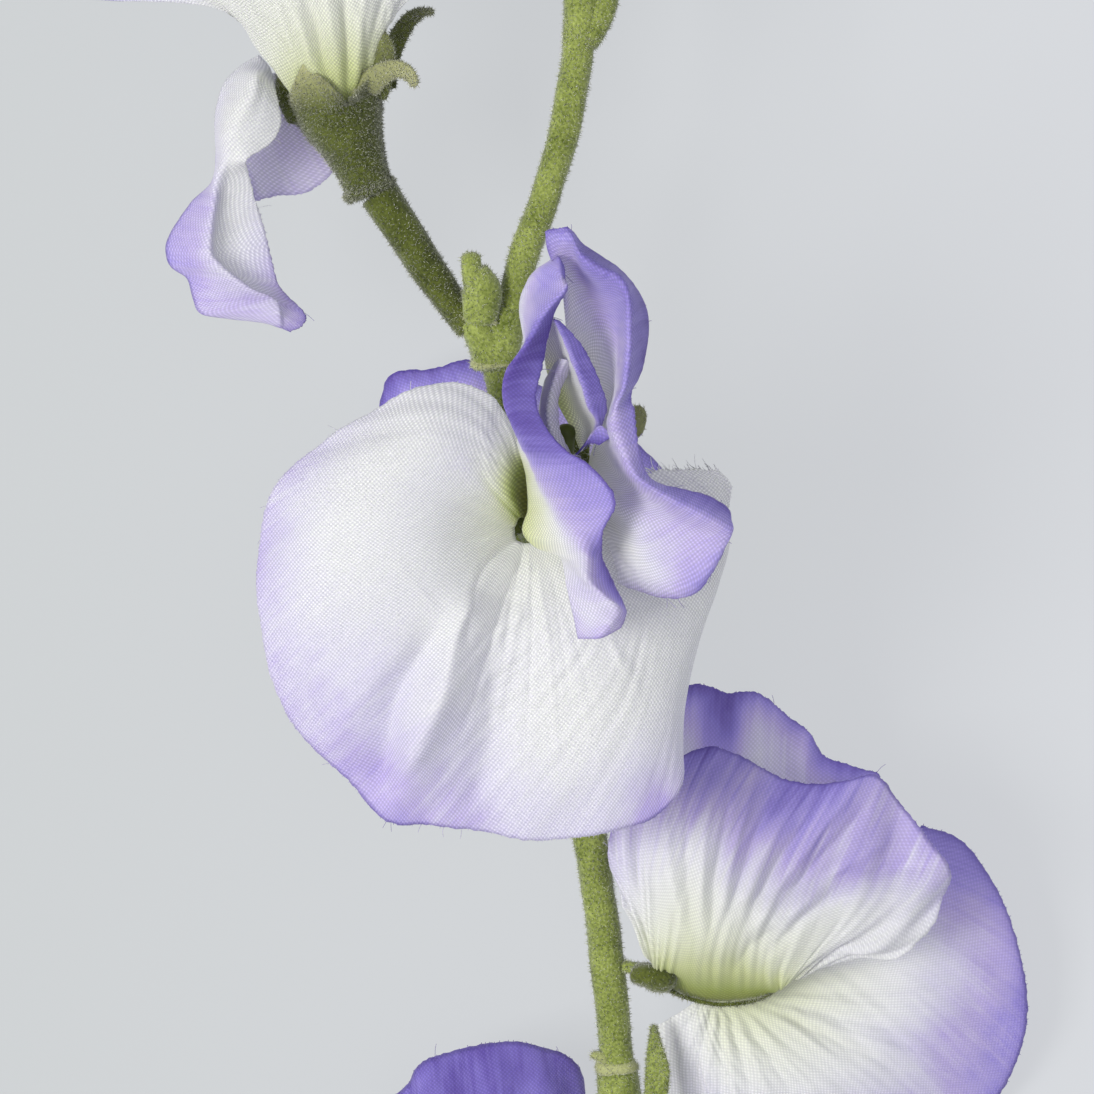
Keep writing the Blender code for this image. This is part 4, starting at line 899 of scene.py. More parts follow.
def buildUpperBlossom():
    banner = [
        [(-23.8, 43.0, 30.2, -0.8), (-28.9, 49.8, 33.2, -0.18), (-33.6, 54.2, 35.6, 0), (-50.0, 55.0, 36.6, 0.4)],
        [(-23.4, 43.2, 31.0, -0.8), (-28.4, 51.6, 35.2, -0.2), (-38.0, 57.6, 37.2, 0), (-51.4, 60.4, 34.0, 0.5)],
        [(-23.0, 43.4, 31.4, -0.8), (-27.4, 53.0, 36.8, -0.2), (-37.4, 61.6, 37.8, 0), (-49.4, 67.6, 30.6, 0.5)],
        [(-22.2, 43.6, 31.8, -0.8), (-25.8, 54.2, 38.0, -0.2), (-34.0, 65.0, 37.8, 0), (-43.0, 74.5, 28.0, 0.55)],
        [(-21.6, 43.8, 32.0, -0.8), (-24.4, 54.8, 38.3, -0.2), (-30.6, 66.4, 37.8, 0), (-37.0, 77.4, 27.4, 0.5)],
        [(-21.0, 43.9, 32.0, -0.8), (-23.0, 55.0, 38.4, -0.2), (-27.0, 67.0, 37.8, 0), (-31.0, 78.5, 28.0, 0.5)],
        [(-20.4, 44.0, 32.0, -0.8), (-21.2, 55.4, 38.3, -0.2), (-23.0, 66.8, 37.8, 0), (-25.0, 78.2, 28.6, 0.5)],
        [(-19.9, 44.2, 31.8, -0.8), (-19.6, 55.6, 38.0, -0.18), (-19.0, 66.0, 37.6, 0), (-19.0, 76.5, 30.0, 0.55)],
        [(-19.5, 44.4, 31.6, -0.8), (-17.8, 55.2, 37.4, -0.15), (-15.6, 64.2, 37.6, 0), (-13.4, 73.4, 31.4, 0.55)],
        [(-19.2, 44.6, 31.2, -0.8), (-16.2, 54.6, 36.4, -0.15), (-12.6, 61.6, 37.6, 0), (-8.5, 69.5, 33.0, 0.55)],
        [(-19.0, 44.8, 30.8, -0.8), (-15.8, 53.8, 35.0, -0.15), (-12.0, 59.0, 37.0, 0), (-7.6, 64.0, 35.0, 0.5)],
        [(-18.9, 45.0, 30.4, -0.8), (-15.6, 53.0, 33.6, -0.15), (-12.0, 56.4, 36.2, 0), (-8.8, 58.5, 36.0, 0.4)],
    ]
    pleats = [(0.15, -0.3, 0.6, 0, 0.6), (0.28, 0.25, 0.5, 0, 0.7), (0.38, -0.3, 0.5, 0, 0.7),
              (0.5, 0.3, 0.6, 0, 0.8), (0.6, -0.35, 0.5, 0, 0.7), (0.7, 0.3, 0.5, 0, 0.7),
              (0.8, -0.4, 0.6, 0, 0.8), (0.9, 0.25, 0.5, 0, 0.7)]
    petal("upper_banner", "upper_banner", "petal_white", banner, across=230, along=72, pleats=pleats,
          ruffle=0.35, ruffleLength=12.0, finePleats=0.07, edges=(("top", 0.25, 8),), seed=51)
    left = [
        [(-29.1, 49.7, 29, 0), (-28.1, 48.5, 30, 0), (-27.9, 48.1, 29.5, 0), (-27.7, 47.7, 29, 0)],
        [(-31.2, 48.4, 29.5, 0.05), (-29.4, 47.6, 33.5, 0), (-28.5, 47.0, 33, 0), (-27.5, 46.4, 32, 0)],
        [(-32.8, 46.4, 30, 0.1), (-30.1, 45.6, 34.5, 0), (-28.6, 45.2, 34, 0), (-27.1, 44.7, 33, 0)],
        [(-33.4, 44.0, 30.4, 0.15), (-31.4, 43.5, 34.4, 0), (-29.1, 43.1, 34.4, 0), (-26.8, 42.6, 33.4, 0)],
        [(-33.5, 42.0, 30.6, 0.15), (-32.4, 41.5, 34, 0.05), (-30.4, 41.1, 34.6, 0), (-27.7, 40.7, 34, 0)],
        [(-33.4, 39.8, 30.8, 0.2), (-32.6, 39.3, 33.6, 0.1), (-31.5, 39.2, 34.4, 0), (-30.1, 39.0, 35.2, 0.05)],
        [(-33.7, 37.0, 30.8, 0.3), (-33.4, 36.7, 33.6, 0.2), (-32.0, 37.2, 33.0, 0), (-30.1, 37.8, 32.6, 0.05)],
        [(-35.7, 35.0, 30.2, 0.5), (-33.7, 34.5, 34, 0.35), (-32.6, 34.5, 32.6, 0), (-29.3, 34.6, 31.6, 0.1)],
        [(-37.6, 32.4, 29.8, 0.55), (-34.1, 31.8, 34.2, 0.3), (-33.0, 32.0, 32.2, 0), (-28.7, 32.8, 31.2, 0.15)],
        [(-38.5, 30.4, 29.6, 0.6), (-34.2, 29.7, 34.4, 0.3), (-33.0, 29.9, 32.2, 0.02), (-28.2, 30.8, 31, 0.25)],
        [(-38.0, 28.4, 29.8, 0.6), (-33.6, 28.7, 34.4, 0.3), (-32.4, 28.8, 32.2, 0.05), (-27.8, 29.1, 31, 0.3)],
        [(-36.3, 27.1, 30.2, 0.5), (-32.4, 27.5, 34.4, 0.25), (-31.2, 27.4, 32.4, 0.1), (-27.1, 26.5, 31, 0.4)],
        [(-35.7, 25.0, 30.4, 0.45), (-30.2, 25.9, 34.4, 0.3), (-29.2, 25.7, 32.6, 0.2), (-25.9, 25.0, 31.4, 0.5)],
        [(-34.8, 23.5, 30.8, 0.4), (-27.9, 24.7, 34, 0.35), (-27.2, 24.5, 32.8, 0.35), (-24.4, 23.5, 32, 0.6)],
        [(-31.2, 23.0, 31.4, 0.35), (-27.4, 22.9, 33.6, 0.35), (-26.4, 22.8, 33.2, 0.4), (-24.6, 22.4, 32.4, 0.55)],
        [(-28.6, 22.8, 31.6, 0.4), (-27.1, 22.2, 33, 0.4), (-26.6, 22.0, 32.8, 0.45), (-25.9, 21.7, 32.4, 0.5)],
    ]
    petal("upper_wing_left", "upper_wing_left", "petal_white", left, across=120, along=50, edges=(("top", 0.2, 4),),
          finePleats=0.02, crinkle=0.03, strip=True, rims="top left right bottom", seed=53)
    right = [
        [(-25.0, 49.2, 28.2, 0), (-29.6, 46.5, 26.4, 0.1), (-30.8, 41.0, 26.2, 0.25), (-29.6, 35.0, 26.8, 0.3)],
        [(-24.7, 49.3, 27.8, 0), (-28.8, 46.0, 25.2, 0.1), (-29.0, 40.4, 25.6, 0.25), (-27.5, 35.6, 26.4, 0.3)],
        [(-24.4, 49.4, 27.4, 0), (-27.8, 45.6, 24.6, 0.15), (-27.0, 40.4, 25.2, 0.3), (-24.9, 35.8, 26.2, 0.3)],
        [(-24.1, 49.4, 27.0, 0), (-26.6, 45.6, 24.0, 0.2), (-25.0, 41.0, 24.8, 0.3), (-22.5, 37.2, 25.6, 0.3)],
        [(-23.8, 49.4, 26.6, 0), (-25.6, 45.8, 23.8, 0.2), (-23.6, 42.2, 24.4, 0.3), (-21.5, 39.2, 25.0, 0.3)],
        [(-23.6, 49.4, 26.4, 0), (-25.0, 46.6, 23.4, 0.2), (-24.0, 43.6, 24.0, 0.3), (-23.2, 41.6, 24.6, 0.3)],
    ]
    petal("upper_wing_right", "upper_wing_right", "petal_lilac", right, across=60, along=50, finePleats=0.03,
          strip=True, seed=55)
    keel = [
        [(-22.6, 48.6, 30.4, 0), (-26.4, 52.6, 30.8, 0.3), (-31.2, 56.2, 31.8, 0.7)],
        [(-21.8, 48.6, 29.0, 0), (-25.2, 53.6, 27.8, 0.3), (-30.4, 57.6, 28.6, 0.7)],
        [(-20.8, 49.0, 30.4, 0), (-23.4, 54.6, 30.8, 0.3), (-29.6, 58.6, 31.8, 0.7)],
    ]
    petal("upper_keel", "upper_keel", "petal_lilac", keel, across=36, along=30, seed=57)
    shape = newSkin()
    aim = layoutFrame((-17.7, 35.5, 28.3), (-0.35, 0.93, 0.12), (0, 0, 1))
    calyxCup(shape, aim, ((2.1, 0.0), (2.7, 0.7), (2.35, 1.5), (2.7, 3.6), (3.2, 5.6), (4.1, 8.0), (4.55, 9.8)),
             [(48, 5.6, 52, 0.5, 1.8, 1.0), (142, 2.2, 40, 1.0, 0.5, 0.5), (190, 3.0, 30, 0.6, 0, 0.2),
              (250, 4.0, 40, 0.6, 0, 0.3), (320, 4.0, 36, 0.5, 0, 0.5)], 0.5, 120, 80)

    def sepal(path, widths, flatWay, pale, seed):
        rod(shape, path, [(w, 0.2 + 0.16 * w) for w in widths], sides=24, spacing=0.36, flatWay=flatWay,
            round_=0.3, pale=pale, lumps=0.08, seed=seed)

    sepal([(-18.9, 43.9, 31.4), (-17.9, 46.6, 32.6), (-15.7, 48.1, 33.5), (-14.0, 47.7, 33.8), (-13.2, 46.3, 33.6)],
          (1.5, 1.35, 0.95, 0.75, 0.35), (0.25, 1.0, 0.5), lambda t: 0.35 + 0.65 * t, 31)
    sepal([(-17.6, 45.2, 30.6), (-17.0, 48.0, 32.4), (-16.7, 50.4, 33.6), (-17.2, 52.7, 34.2)],
          (1.3, 1.6, 1.35, 0.2), (1.0, 0.0, 0.35), lambda t: 0.3 * t, 32)
    sepal([(-16.4, 46.0, 29.4), (-15.7, 50.0, 29.4), (-14.3, 52.8, 29.2), (-12.8, 54.0, 29.0), (-11.4, 54.1, 28.8)],
          (1.2, 1.05, 0.85, 0.55, 0.15), (1.0, -0.5, 0.3), lambda t: 0.2 * t, 33)
    sepal([(-25.2, 42.6, 30.4), (-26.7, 45.6, 30.6), (-26.6, 47.9, 30.6), (-25.4, 48.6, 30.8), (-24.4, 48.3, 31.0)],
          (0.9, 0.8, 0.7, 0.6, 0.3), (0.7, 0.3, 0.5), lambda t: max(0.0, t * 1.6 - 0.5), 34)
    flocked("upper_calyx", ["upper_calyx"], shape, skin="calyx")


buildUpperBlossom()
print("upper blossom ready")


# ---- lower-right blossom, side on

def buildSideBlossom():
    shape = newSkin()
    rod(shape, [(7.6, -42.9, 15.4), (8.6, -43.1, 15.6), (9.6, -43.5, 15.9)], (0.7, 0.65, 0.8), sides=18)
    flocked("side_pedicel", ["side_pedicel"], shape, 0.8)
    shape = newSkin()
    rod(shape, [(8.9, -43.7, 16.2), (10.0, -43.8, 17.0), (11.4, -44.1, 17.2), (13.0, -44.8, 16.2)],
        (1.15, 1.35, 1.45, 1.1), round_=0.9, sides=30, lumps=0.12)
    rod(shape, [(11.8, -44.9, 15.9), (13.8, -46.0, 15.3), (17.4, -46.9, 14.9), (21.0, -46.6, 15.0),
                (23.2, -45.7, 15.5)], (0.4, 0.24, 0.2, 0.18, 0.1), sides=12, spacing=0.35, lumps=0.25)
    flocked("side_calyx", ["side_calyx"], shape, 0.7, skin="calyx")
    upper = [
        [(12.0, -44.6, 15.5, -0.85), (11.2, -43.8, 17.5, -0.6), (10.6, -42.4, 18.6, -0.4), (9.6, -40.6, 19.2, -0.15)],
        [(12.3, -44.8, 15.0, -0.9), (11.4, -42.8, 18.8, -0.55), (10.2, -40.2, 20.0, -0.3), (8.6, -37.6, 20.4, 0)],
        [(12.7, -45.1, 14.6, -0.9), (11.9, -42.0, 20.0, -0.5), (9.8, -37.8, 21.2, -0.1), (7.2, -35.0, 21.2, 0.15)],
        [(13.2, -45.4, 14.4, -0.9), (12.5, -41.4, 20.8, -0.45), (10.0, -35.6, 22.3, 0), (6.2, -31.2, 22.0, 0.3)],
        [(13.8, -45.7, 14.3, -0.9), (13.2, -41.0, 21.4, -0.4), (10.6, -33.4, 23.0, 0.05), (7.3, -26.6, 22.8, 0.45)],
        [(14.4, -46.0, 14.2, -0.9), (13.9, -40.7, 21.9, -0.4), (12.0, -32.0, 23.8, 0.08), (10.4, -22.6, 23.8, 0.6)],
        [(15.1, -46.2, 14.1, -0.9), (14.7, -40.5, 22.3, -0.4), (13.8, -31.2, 24.2, 0.1), (14.2, -21.0, 23.8, 0.8)],
        [(15.8, -46.4, 14.1, -0.9), (15.5, -40.3, 22.6, -0.35), (15.4, -30.8, 24.4, 0.12), (16.6, -20.3, 23.6, 0.85)],
        [(16.5, -46.5, 14.1, -0.9), (16.4, -40.2, 22.8, -0.35), (17.2, -30.6, 24.3, 0.2), (19.2, -21.0, 23.3, 0.7)],
        [(17.2, -46.5, 14.1, -0.9), (17.3, -40.1, 22.9, -0.3), (19.0, -30.6, 24.0, 0.35), (21.6, -22.2, 22.8, 0.6)],
        [(17.9, -46.5, 14.1, -0.9), (18.2, -40.1, 22.9, -0.3), (20.8, -30.8, 23.7, 0.4), (24.2, -23.6, 22.3, 0.75)],
        [(18.6, -46.5, 14.1, -0.9), (19.1, -40.2, 22.8, -0.3), (22.6, -31.2, 23.4, 0.4), (27.2, -24.1, 21.9, 0.85)],
        [(19.3, -46.4, 14.1, -0.9), (20.0, -40.3, 22.6, -0.25), (24.4, -31.8, 23.1, 0.4), (30.6, -23.8, 21.4, 0.75)],
        [(19.9, -46.4, 14.2, -0.9), (20.9, -40.5, 22.4, -0.25), (26.0, -32.5, 22.8, 0.4), (33.6, -23.3, 20.9, 0.55)],
        [(20.5, -46.3, 14.3, -0.9), (21.7, -40.8, 22.1, -0.25), (27.6, -33.4, 22.5, 0.35), (36.2, -26.2, 20.4, 0.45)],
        [(21.1, -46.2, 14.4, -0.9), (22.5, -41.2, 21.8, -0.25), (29.0, -34.5, 22.2, 0.3), (38.8, -29.8, 19.9, 0.4)],
        [(21.6, -46.1, 14.5, -0.9), (23.2, -41.7, 21.4, -0.3), (30.2, -35.8, 21.9, 0.1), (41.2, -33.2, 19.5, 0.35)],
        [(22.0, -46.0, 14.6, -0.9), (23.8, -42.2, 21.0, -0.3), (31.0, -37.0, 21.6, 0), (40.6, -36.2, 19.2, 0.2)],
        [(22.4, -45.9, 14.8, -0.9), (24.3, -42.8, 20.4, -0.35), (31.0, -38.4, 21.3, 0), (38.6, -39.6, 19.0, 0.03)],
        [(22.7, -45.8, 15.0, -0.9), (24.6, -43.4, 19.8, -0.4), (30.2, -39.9, 21.0, 0), (35.4, -42.2, 18.8, 0)],
        [(23.0, -45.7, 15.2, -0.85), (24.7, -44.0, 19.2, -0.45), (28.8, -41.2, 20.4, 0), (31.4, -42.0, 18.6, 0)],
        [(23.3, -45.6, 15.4, -0.85), (24.6, -44.5, 18.4, -0.5), (27.2, -42.4, 19.4, -0.1), (28.6, -42.6, 18.2, 0)],
        [(23.4, -45.5, 15.6, -0.85), (24.4, -44.8, 17.8, -0.6), (25.6, -43.8, 18.4, -0.3), (26.2, -43.7, 17.8, -0.1)],
    ]
    pleats = [(0.24, 0.3, 0.6, 0.35, 1.0), (0.28, -0.3, 0.5, 0.4, 1.0), (0.33, 0.35, 0.5, 0.35, 1.0),
              (0.37, -0.35, 0.5, 0.35, 1.0), (0.41, 0.3, 0.5, 0.4, 1.0), (0.45, -0.35, 0.5, 0.4, 0.95),
              (0.49, 0.35, 0.5, 0.4, 0.95), (0.53, -0.4, 0.5, 0.4, 1.0), (0.57, 0.35, 0.5, 0.35, 1.0),
              (0.61, -0.3, 0.5, 0.4, 1.0), (0.66, 0.3, 0.6, 0.4, 1.0), (0.70, -0.4, 0.6, 0.3, 1.0)]
    creases = [
        ([(18.5, -37.0), (22.5, -35.4), (27.0, -34.0), (33.0, -33.0), (40.0, -32.6)], -0.5, 0.8),
        ([(21.0, -38.0), (26.0, -36.4), (33.0, -35.6), (38.5, -35.6)], 0.45, 1.2),
        ([(19.0, -43.5), (21.0, -40.5), (24.0, -38.5)], -0.5, 0.9),
    ]
    petal("side_wing_upper", "side_wing_upper", "petal_lilac", upper, across=250, along=72, pleats=pleats,
          creases=creases, ruffle=0.4, ruffleLength=7.0, finePleats=0.12, edges=(("top", 0.18, 2),), crisp=0.5, streaky=0.8,
          seed=61)
    back = [
        [(17.6, -42.8, 13.8, -0.3), (13.6, -36.0, 16.6, 0), (11.0, -30.0, 17.6, 0.1), (9.4, -26.5, 18.0, 0.4)],
        [(18.0, -43.0, 13.6, -0.3), (13.8, -34.0, 17.0, 0), (11.6, -26.0, 18.0, 0.2), (10.4, -21.5, 18.0, 0.6)],
        [(18.6, -43.1, 13.5, -0.3), (14.8, -32.0, 17.6, 0), (12.9, -21.8, 18.2, 0.2), (12.4, -16.8, 17.4, 0.8)],
        [(19.2, -43.2, 13.5, -0.3), (15.8, -31.0, 18.0, 0), (14.6, -19.4, 18.0, 0.3), (14.3, -14.3, 16.8, 1)],
        [(19.8, -43.2, 13.5, -0.3), (17.0, -30.6, 18.2, 0), (16.6, -18.6, 17.8, 0.75), (16.6, -14.2, 16.6, 1)],
        [(20.4, -43.2, 13.5, -0.3), (18.6, -30.6, 18.3, 0), (18.6, -18.4, 17.6, 0.8), (18.6, -14.9, 16.6, 1)],
        [(20.9, -43.1, 13.5, -0.3), (20.2, -30.8, 18.2, 0), (20.8, -19.0, 17.4, 0.3), (21.2, -15.0, 16.4, 0.8)],
        [(21.4, -43.0, 13.5, -0.3), (21.8, -31.0, 18.0, 0.1), (22.9, -20.2, 17.0, 0.25), (23.9, -16.4, 16.2, 0.7)],
        [(21.8, -42.8, 13.6, -0.3), (23.4, -31.4, 17.6, 0.1), (25.0, -22.0, 16.8, 0.3), (26.5, -18.9, 15.9, 0.75)],
        [(22.2, -42.6, 13.7, -0.3), (25.0, -32.0, 17.2, 0.2), (27.0, -24.0, 16.6, 0.35), (28.6, -21.3, 15.8, 0.85)],
        [(22.4, -42.4, 13.8, -0.3), (26.4, -32.6, 16.9, 0.2), (29.4, -25.4, 16.6, 0.4), (31.6, -22.6, 16.0, 0.9)],
        [(22.6, -42.2, 13.8, -0.3), (27.2, -33.4, 16.6, 0.2), (31.2, -26.6, 16.4, 0.4), (33.9, -23.2, 16.2, 0.7)],
        [(22.8, -42.0, 13.9, -0.3), (27.8, -34.0, 16.4, 0.2), (31.8, -28.0, 16.2, 0.4), (34.4, -25.0, 16.0, 0.5)],
    ]
    petal("side_wing_back", "side_wing_back", "petal_violet", back, across=150, along=60, ruffle=0.5,
          ruffleLength=8.0, finePleats=0.05, edges=(("top", 0.18, 2),), crisp=0.5, seed=63)
    banner = [
        [(17.0, -45.4, 13.2, -0.5), (14.2, -47.4, 13.0, -0.1), (11.4, -49.2, 12.2, 0)],
        [(17.2, -45.7, 13.0, -0.5), (14.6, -49.6, 12.9, 0), (12.0, -54.4, 10.4, 0)],
        [(17.4, -45.9, 12.9, -0.5), (15.6, -52.0, 12.6, 0), (13.6, -59.6, 8.0, 0.1)],
        [(17.6, -46.1, 12.8, -0.5), (17.0, -54.0, 12.3, 0), (16.0, -63.4, 5.2, 0.4)],
        [(17.8, -46.2, 12.7, -0.5), (19.0, -55.6, 12.0, 0), (19.4, -66.0, 3.0, 0.6)],
        [(18.3, -46.4, 12.6, -0.5), (21.4, -56.0, 11.8, 0), (24.0, -67.4, 1.4, 0.5)],
        [(18.9, -46.5, 12.6, -0.5), (24.4, -56.0, 11.6, 0), (29.4, -67.2, 0.6, 0.5)],
        [(19.5, -46.5, 12.5, -0.5), (27.6, -55.4, 11.6, 0), (36.2, -65.8, 0.6, 0.55)],
        [(20.1, -46.5, 12.5, -0.5), (31.0, -54.0, 11.6, 0.03), (42.0, -62.4, 1.0, 0.6)],
        [(20.7, -46.4, 12.4, -0.5), (33.4, -52.2, 11.6, 0), (46.0, -58.0, 2.6, 0.6)],
        [(21.3, -46.2, 12.4, -0.5), (35.0, -50.2, 11.6, 0.12), (48.6, -53.0, 4.6, 0.65)],
        [(21.9, -46.0, 12.4, -0.5), (36.4, -47.4, 11.8, 0.05), (49.7, -47.6, 6.4, 0.65)],
        [(22.4, -45.7, 12.3, -0.5), (37.0, -44.6, 12.0, 0.05), (49.0, -42.6, 7.8, 0.55)],
        [(22.8, -45.4, 12.2, -0.5), (36.4, -42.0, 12.4, 0.05), (47.0, -36.6, 9.0, 0.6)],
        [(23.2, -45.0, 12.2, -0.5), (35.0, -39.4, 12.6, 0.3), (43.0, -30.6, 10.0, 0.75)],
        [(23.5, -44.6, 12.2, -0.5), (33.0, -38.0, 12.4, 0.3), (38.6, -28.6, 10.6, 0.7)],
    ]
    pleats = [(k / 22, 0.2 * (-1) ** k, 0.45, 0.05, 0.8) for k in range(1, 18)]
    petal("side_banner", "side_banner", "petal_white", banner, across=200, along=66, pleats=pleats, ruffle=0.2,
          ruffleLength=12.0, finePleats=0.1, edges=(("top", 0.25, 3),), crisp=0.5, rimReach=0.45, seed=65)
    keel = [
        [(18.0, -44.6, 11.0, 0), (23.5, -46.6, 8.8, 0.3), (29.5, -48.4, 6.4, 0.7)],
        [(18.6, -46.2, 9.8, 0), (24.5, -49.4, 6.0, 0.3), (31.0, -50.4, 3.8, 0.7)],
        [(19.2, -47.4, 10.8, 0), (24.0, -51.0, 8.0, 0.3), (29.5, -52.4, 5.6, 0.7)],
    ]
    petal("side_keel", "side_keel", "petal_lilac", keel, across=36, along=36, seed=67)


buildSideBlossom()
print("side blossom ready")


# ---- blossom near the foot, face up, in its own frame

def buildLowerBlossom():
    own = layoutFrame((-2.2, -82.0, 11.4), (-0.06, -0.06, 1.0), (-0.12, 1.0, 0.0)) @ Matrix.Scale(0.86, 4)
    shape = newSkin()
    rod(shape, [(9.0, -80.4, 3.6), (5.4, -81.4, 2.0), (2.6, -81.5, 1.8), (-0.4, -81.6, 3.2)],
        (1.05, 1.0, 1.0, 1.1), sides=18)
    flocked("lower_pedicel", ["lower_pedicel"], shape, 0.7)
    shape = newSkin()
    base, axis, up = (-1.8, -81.6, 3.7), (-0.05, -0.05, 1.0), (0, 1, 0)
    goblet(shape, base, axis, up, ((1.0, 0.0), (1.8, 0.8), (2.8, 3.0), (3.7, 5.4), (3.8, 6.4), (3.3, 6.2),
                                   (2.4, 4.8), (0.6, 4.2)), 40, 34)
    crown(shape, layoutFrame(base, axis, up), 6.0, 3.6, 0.9, 2.6, 1.3)
    flocked("lower_calyx", ["lower_calyx"], shape, 0.6)
    banner = [
        [(-2.6, 1.8, 0.8, -0.7), (-8.2, -0.8, 3.6, 0), (-14.0, -4.0, 0.0, 0.4), (-17.5, -7.5, -8.0, 0.8)],
        [(-2.2, 2.6, 0.8, -0.7), (-9.0, 4.2, 4.2, 0), (-17.5, 4.8, 0.4, 0.4), (-21.5, 5.0, -9.5, 0.8)],
        [(-1.8, 3.1, 0.8, -0.7), (-8.4, 8.4, 4.6, 0), (-16.0, 13.6, 1.0, 0.45), (-19.5, 17.0, -8.6, 0.85)],
        [(-1.5, 3.3, 0.8, -0.7), (-7.2, 10.0, 4.8, 0), (-14.2, 17.6, 2.0, 0.5), (-17.2, 22.6, -6.8, 0.9)],
        [(-1.2, 3.4, 0.8, -0.7), (-6.0, 11.0, 4.8, 0), (-11.6, 21.4, 3.0, 0.6), (-14.5, 27.5, -5.0, 0.9)],
        [(-0.9, 3.45, 0.8, -0.7), (-4.6, 11.6, 5.0, 0), (-9.2, 23.6, 4.0, 0.7), (-11.6, 31.4, -3.4, 0.9)],
        [(-0.6, 3.5, 0.8, -0.7), (-3.4, 12.0, 5.2, 0), (-6.8, 25.0, 4.6, 0.75), (-8.5, 34.3, -2.2, 0.95)],
        [(-0.3, 3.5, 0.8, -0.7), (-1.7, 12.0, 5.3, 0), (-3.4, 25.6, 5.1, 0.75), (-4.6, 36.0, -1.2, 0.95)],
        [(0.0, 3.5, 0.8, -0.7), (0.0, 12.0, 5.4, 0), (0.0, 26.0, 4.6, 0.8), (0.0, 36.2, -1.2, 0.95)],
        [(0.3, 3.5, 0.8, -0.7), (1.7, 12.0, 5.3, 0), (3.3, 25.6, 5.1, 0.75), (4.5, 35.6, -1.4, 0.95)],
        [(0.6, 3.5, 0.8, -0.7), (3.4, 12.0, 5.2, 0), (6.6, 25.0, 4.6, 0.7), (8.5, 34.0, -2.2, 0.95)],
        [(0.9, 3.45, 0.8, -0.7), (4.2, 11.6, 5.0, 0), (7.6, 23.4, 3.6, 0.6), (10.0, 31.4, -3.6, 0.9)],
        [(1.2, 3.4, 0.8, -0.7), (4.8, 11.0, 4.8, 0), (8.4, 21.4, 2.6, 0.5), (10.6, 27.5, -5.0, 0.9)],
        [(1.8, 3.1, 0.8, -0.7), (5.8, 8.4, 4.4, 0), (9.2, 13.6, 0.6, 0.4), (10.4, 18.0, -8.2, 0.85)],
        [(2.2, 2.6, 0.8, -0.7), (6.4, 4.2, 3.8, 0), (10.4, 5.4, 0.0, 0.4), (11.0, 6.0, -8.0, 0.8)],
        [(2.6, 1.8, 0.8, -0.7), (6.0, -0.8, 3.0, 0), (9.0, -4.0, 0.0, 0.4), (9.5, -7.0, -7.0, 0.8)],
    ]
    petal("lower_banner", "lower_banner", "petal_violet", banner, across=160, along=48, toLayout=own,
          ruffle=0.45, ruffleLength=8.0, finePleats=0.08, edges=(("top", 0.25, 3),), seed=71)
    for side, word in ((-1, "left"), (1, "right")):
        ribs = [
            [(side * 1.6, 0.8, 1.6, -0.5), (side * 3.2, 5.0, 9.0, 0.1), (side * 5.6, 9.0, 17.0, 0.5),
             (side * 8.5, 9.0, 24, 0.9)],
            [(side * 2.2, -0.8, 1.4, -0.5), (side * 6.0, -0.5, 9.5, 0.1), (side * 9.0, 0.5, 18.0, 0.5),
             (side * 12.0, 0.5, 25.0, 0.95)],
            [(side * 2.0, -2.2, 1.6, -0.5), (side * 5.0, -6.0, 8.0, 0.1), (side * 7.4, -8.5, 15.0, 0.5),
             (side * 10.0, -8.5, 21.0, 0.9)],
        ]
        petal(f"lower_wing_{word}", f"lower_wing_{word}", "petal_violet", ribs, across=56, along=56,
              toLayout=own, ruffle=0.3, ruffleLength=8.0, finePleats=0.05, edges=(("top", 0.25, 3),), seed=73 + side)
    keel = [
        [(-0.5, -0.4, 1.2, -0.4), (-1.8, 1.4, 7.0, 0), (-1.8, 3.4, 13.0, 0.4), (-0.7, 5.4, 17.0, 0.7)],
        [(0.0, -1.4, 1.0, -0.4), (0.0, -4.0, 8.0, 0), (0.0, -2.0, 15.0, 0.3), (0.0, 2.4, 19.0, 0.7)],
        [(0.5, -0.4, 1.2, -0.4), (1.8, 1.4, 7.0, 0), (1.8, 3.4, 13.0, 0.4), (0.7, 5.4, 17.0, 0.7)],
    ]
    petal("lower_keel", "lower_keel", "petal_lilac", keel, across=36, along=40, toLayout=own, seed=77)


# ---- blossom below the stem, face down

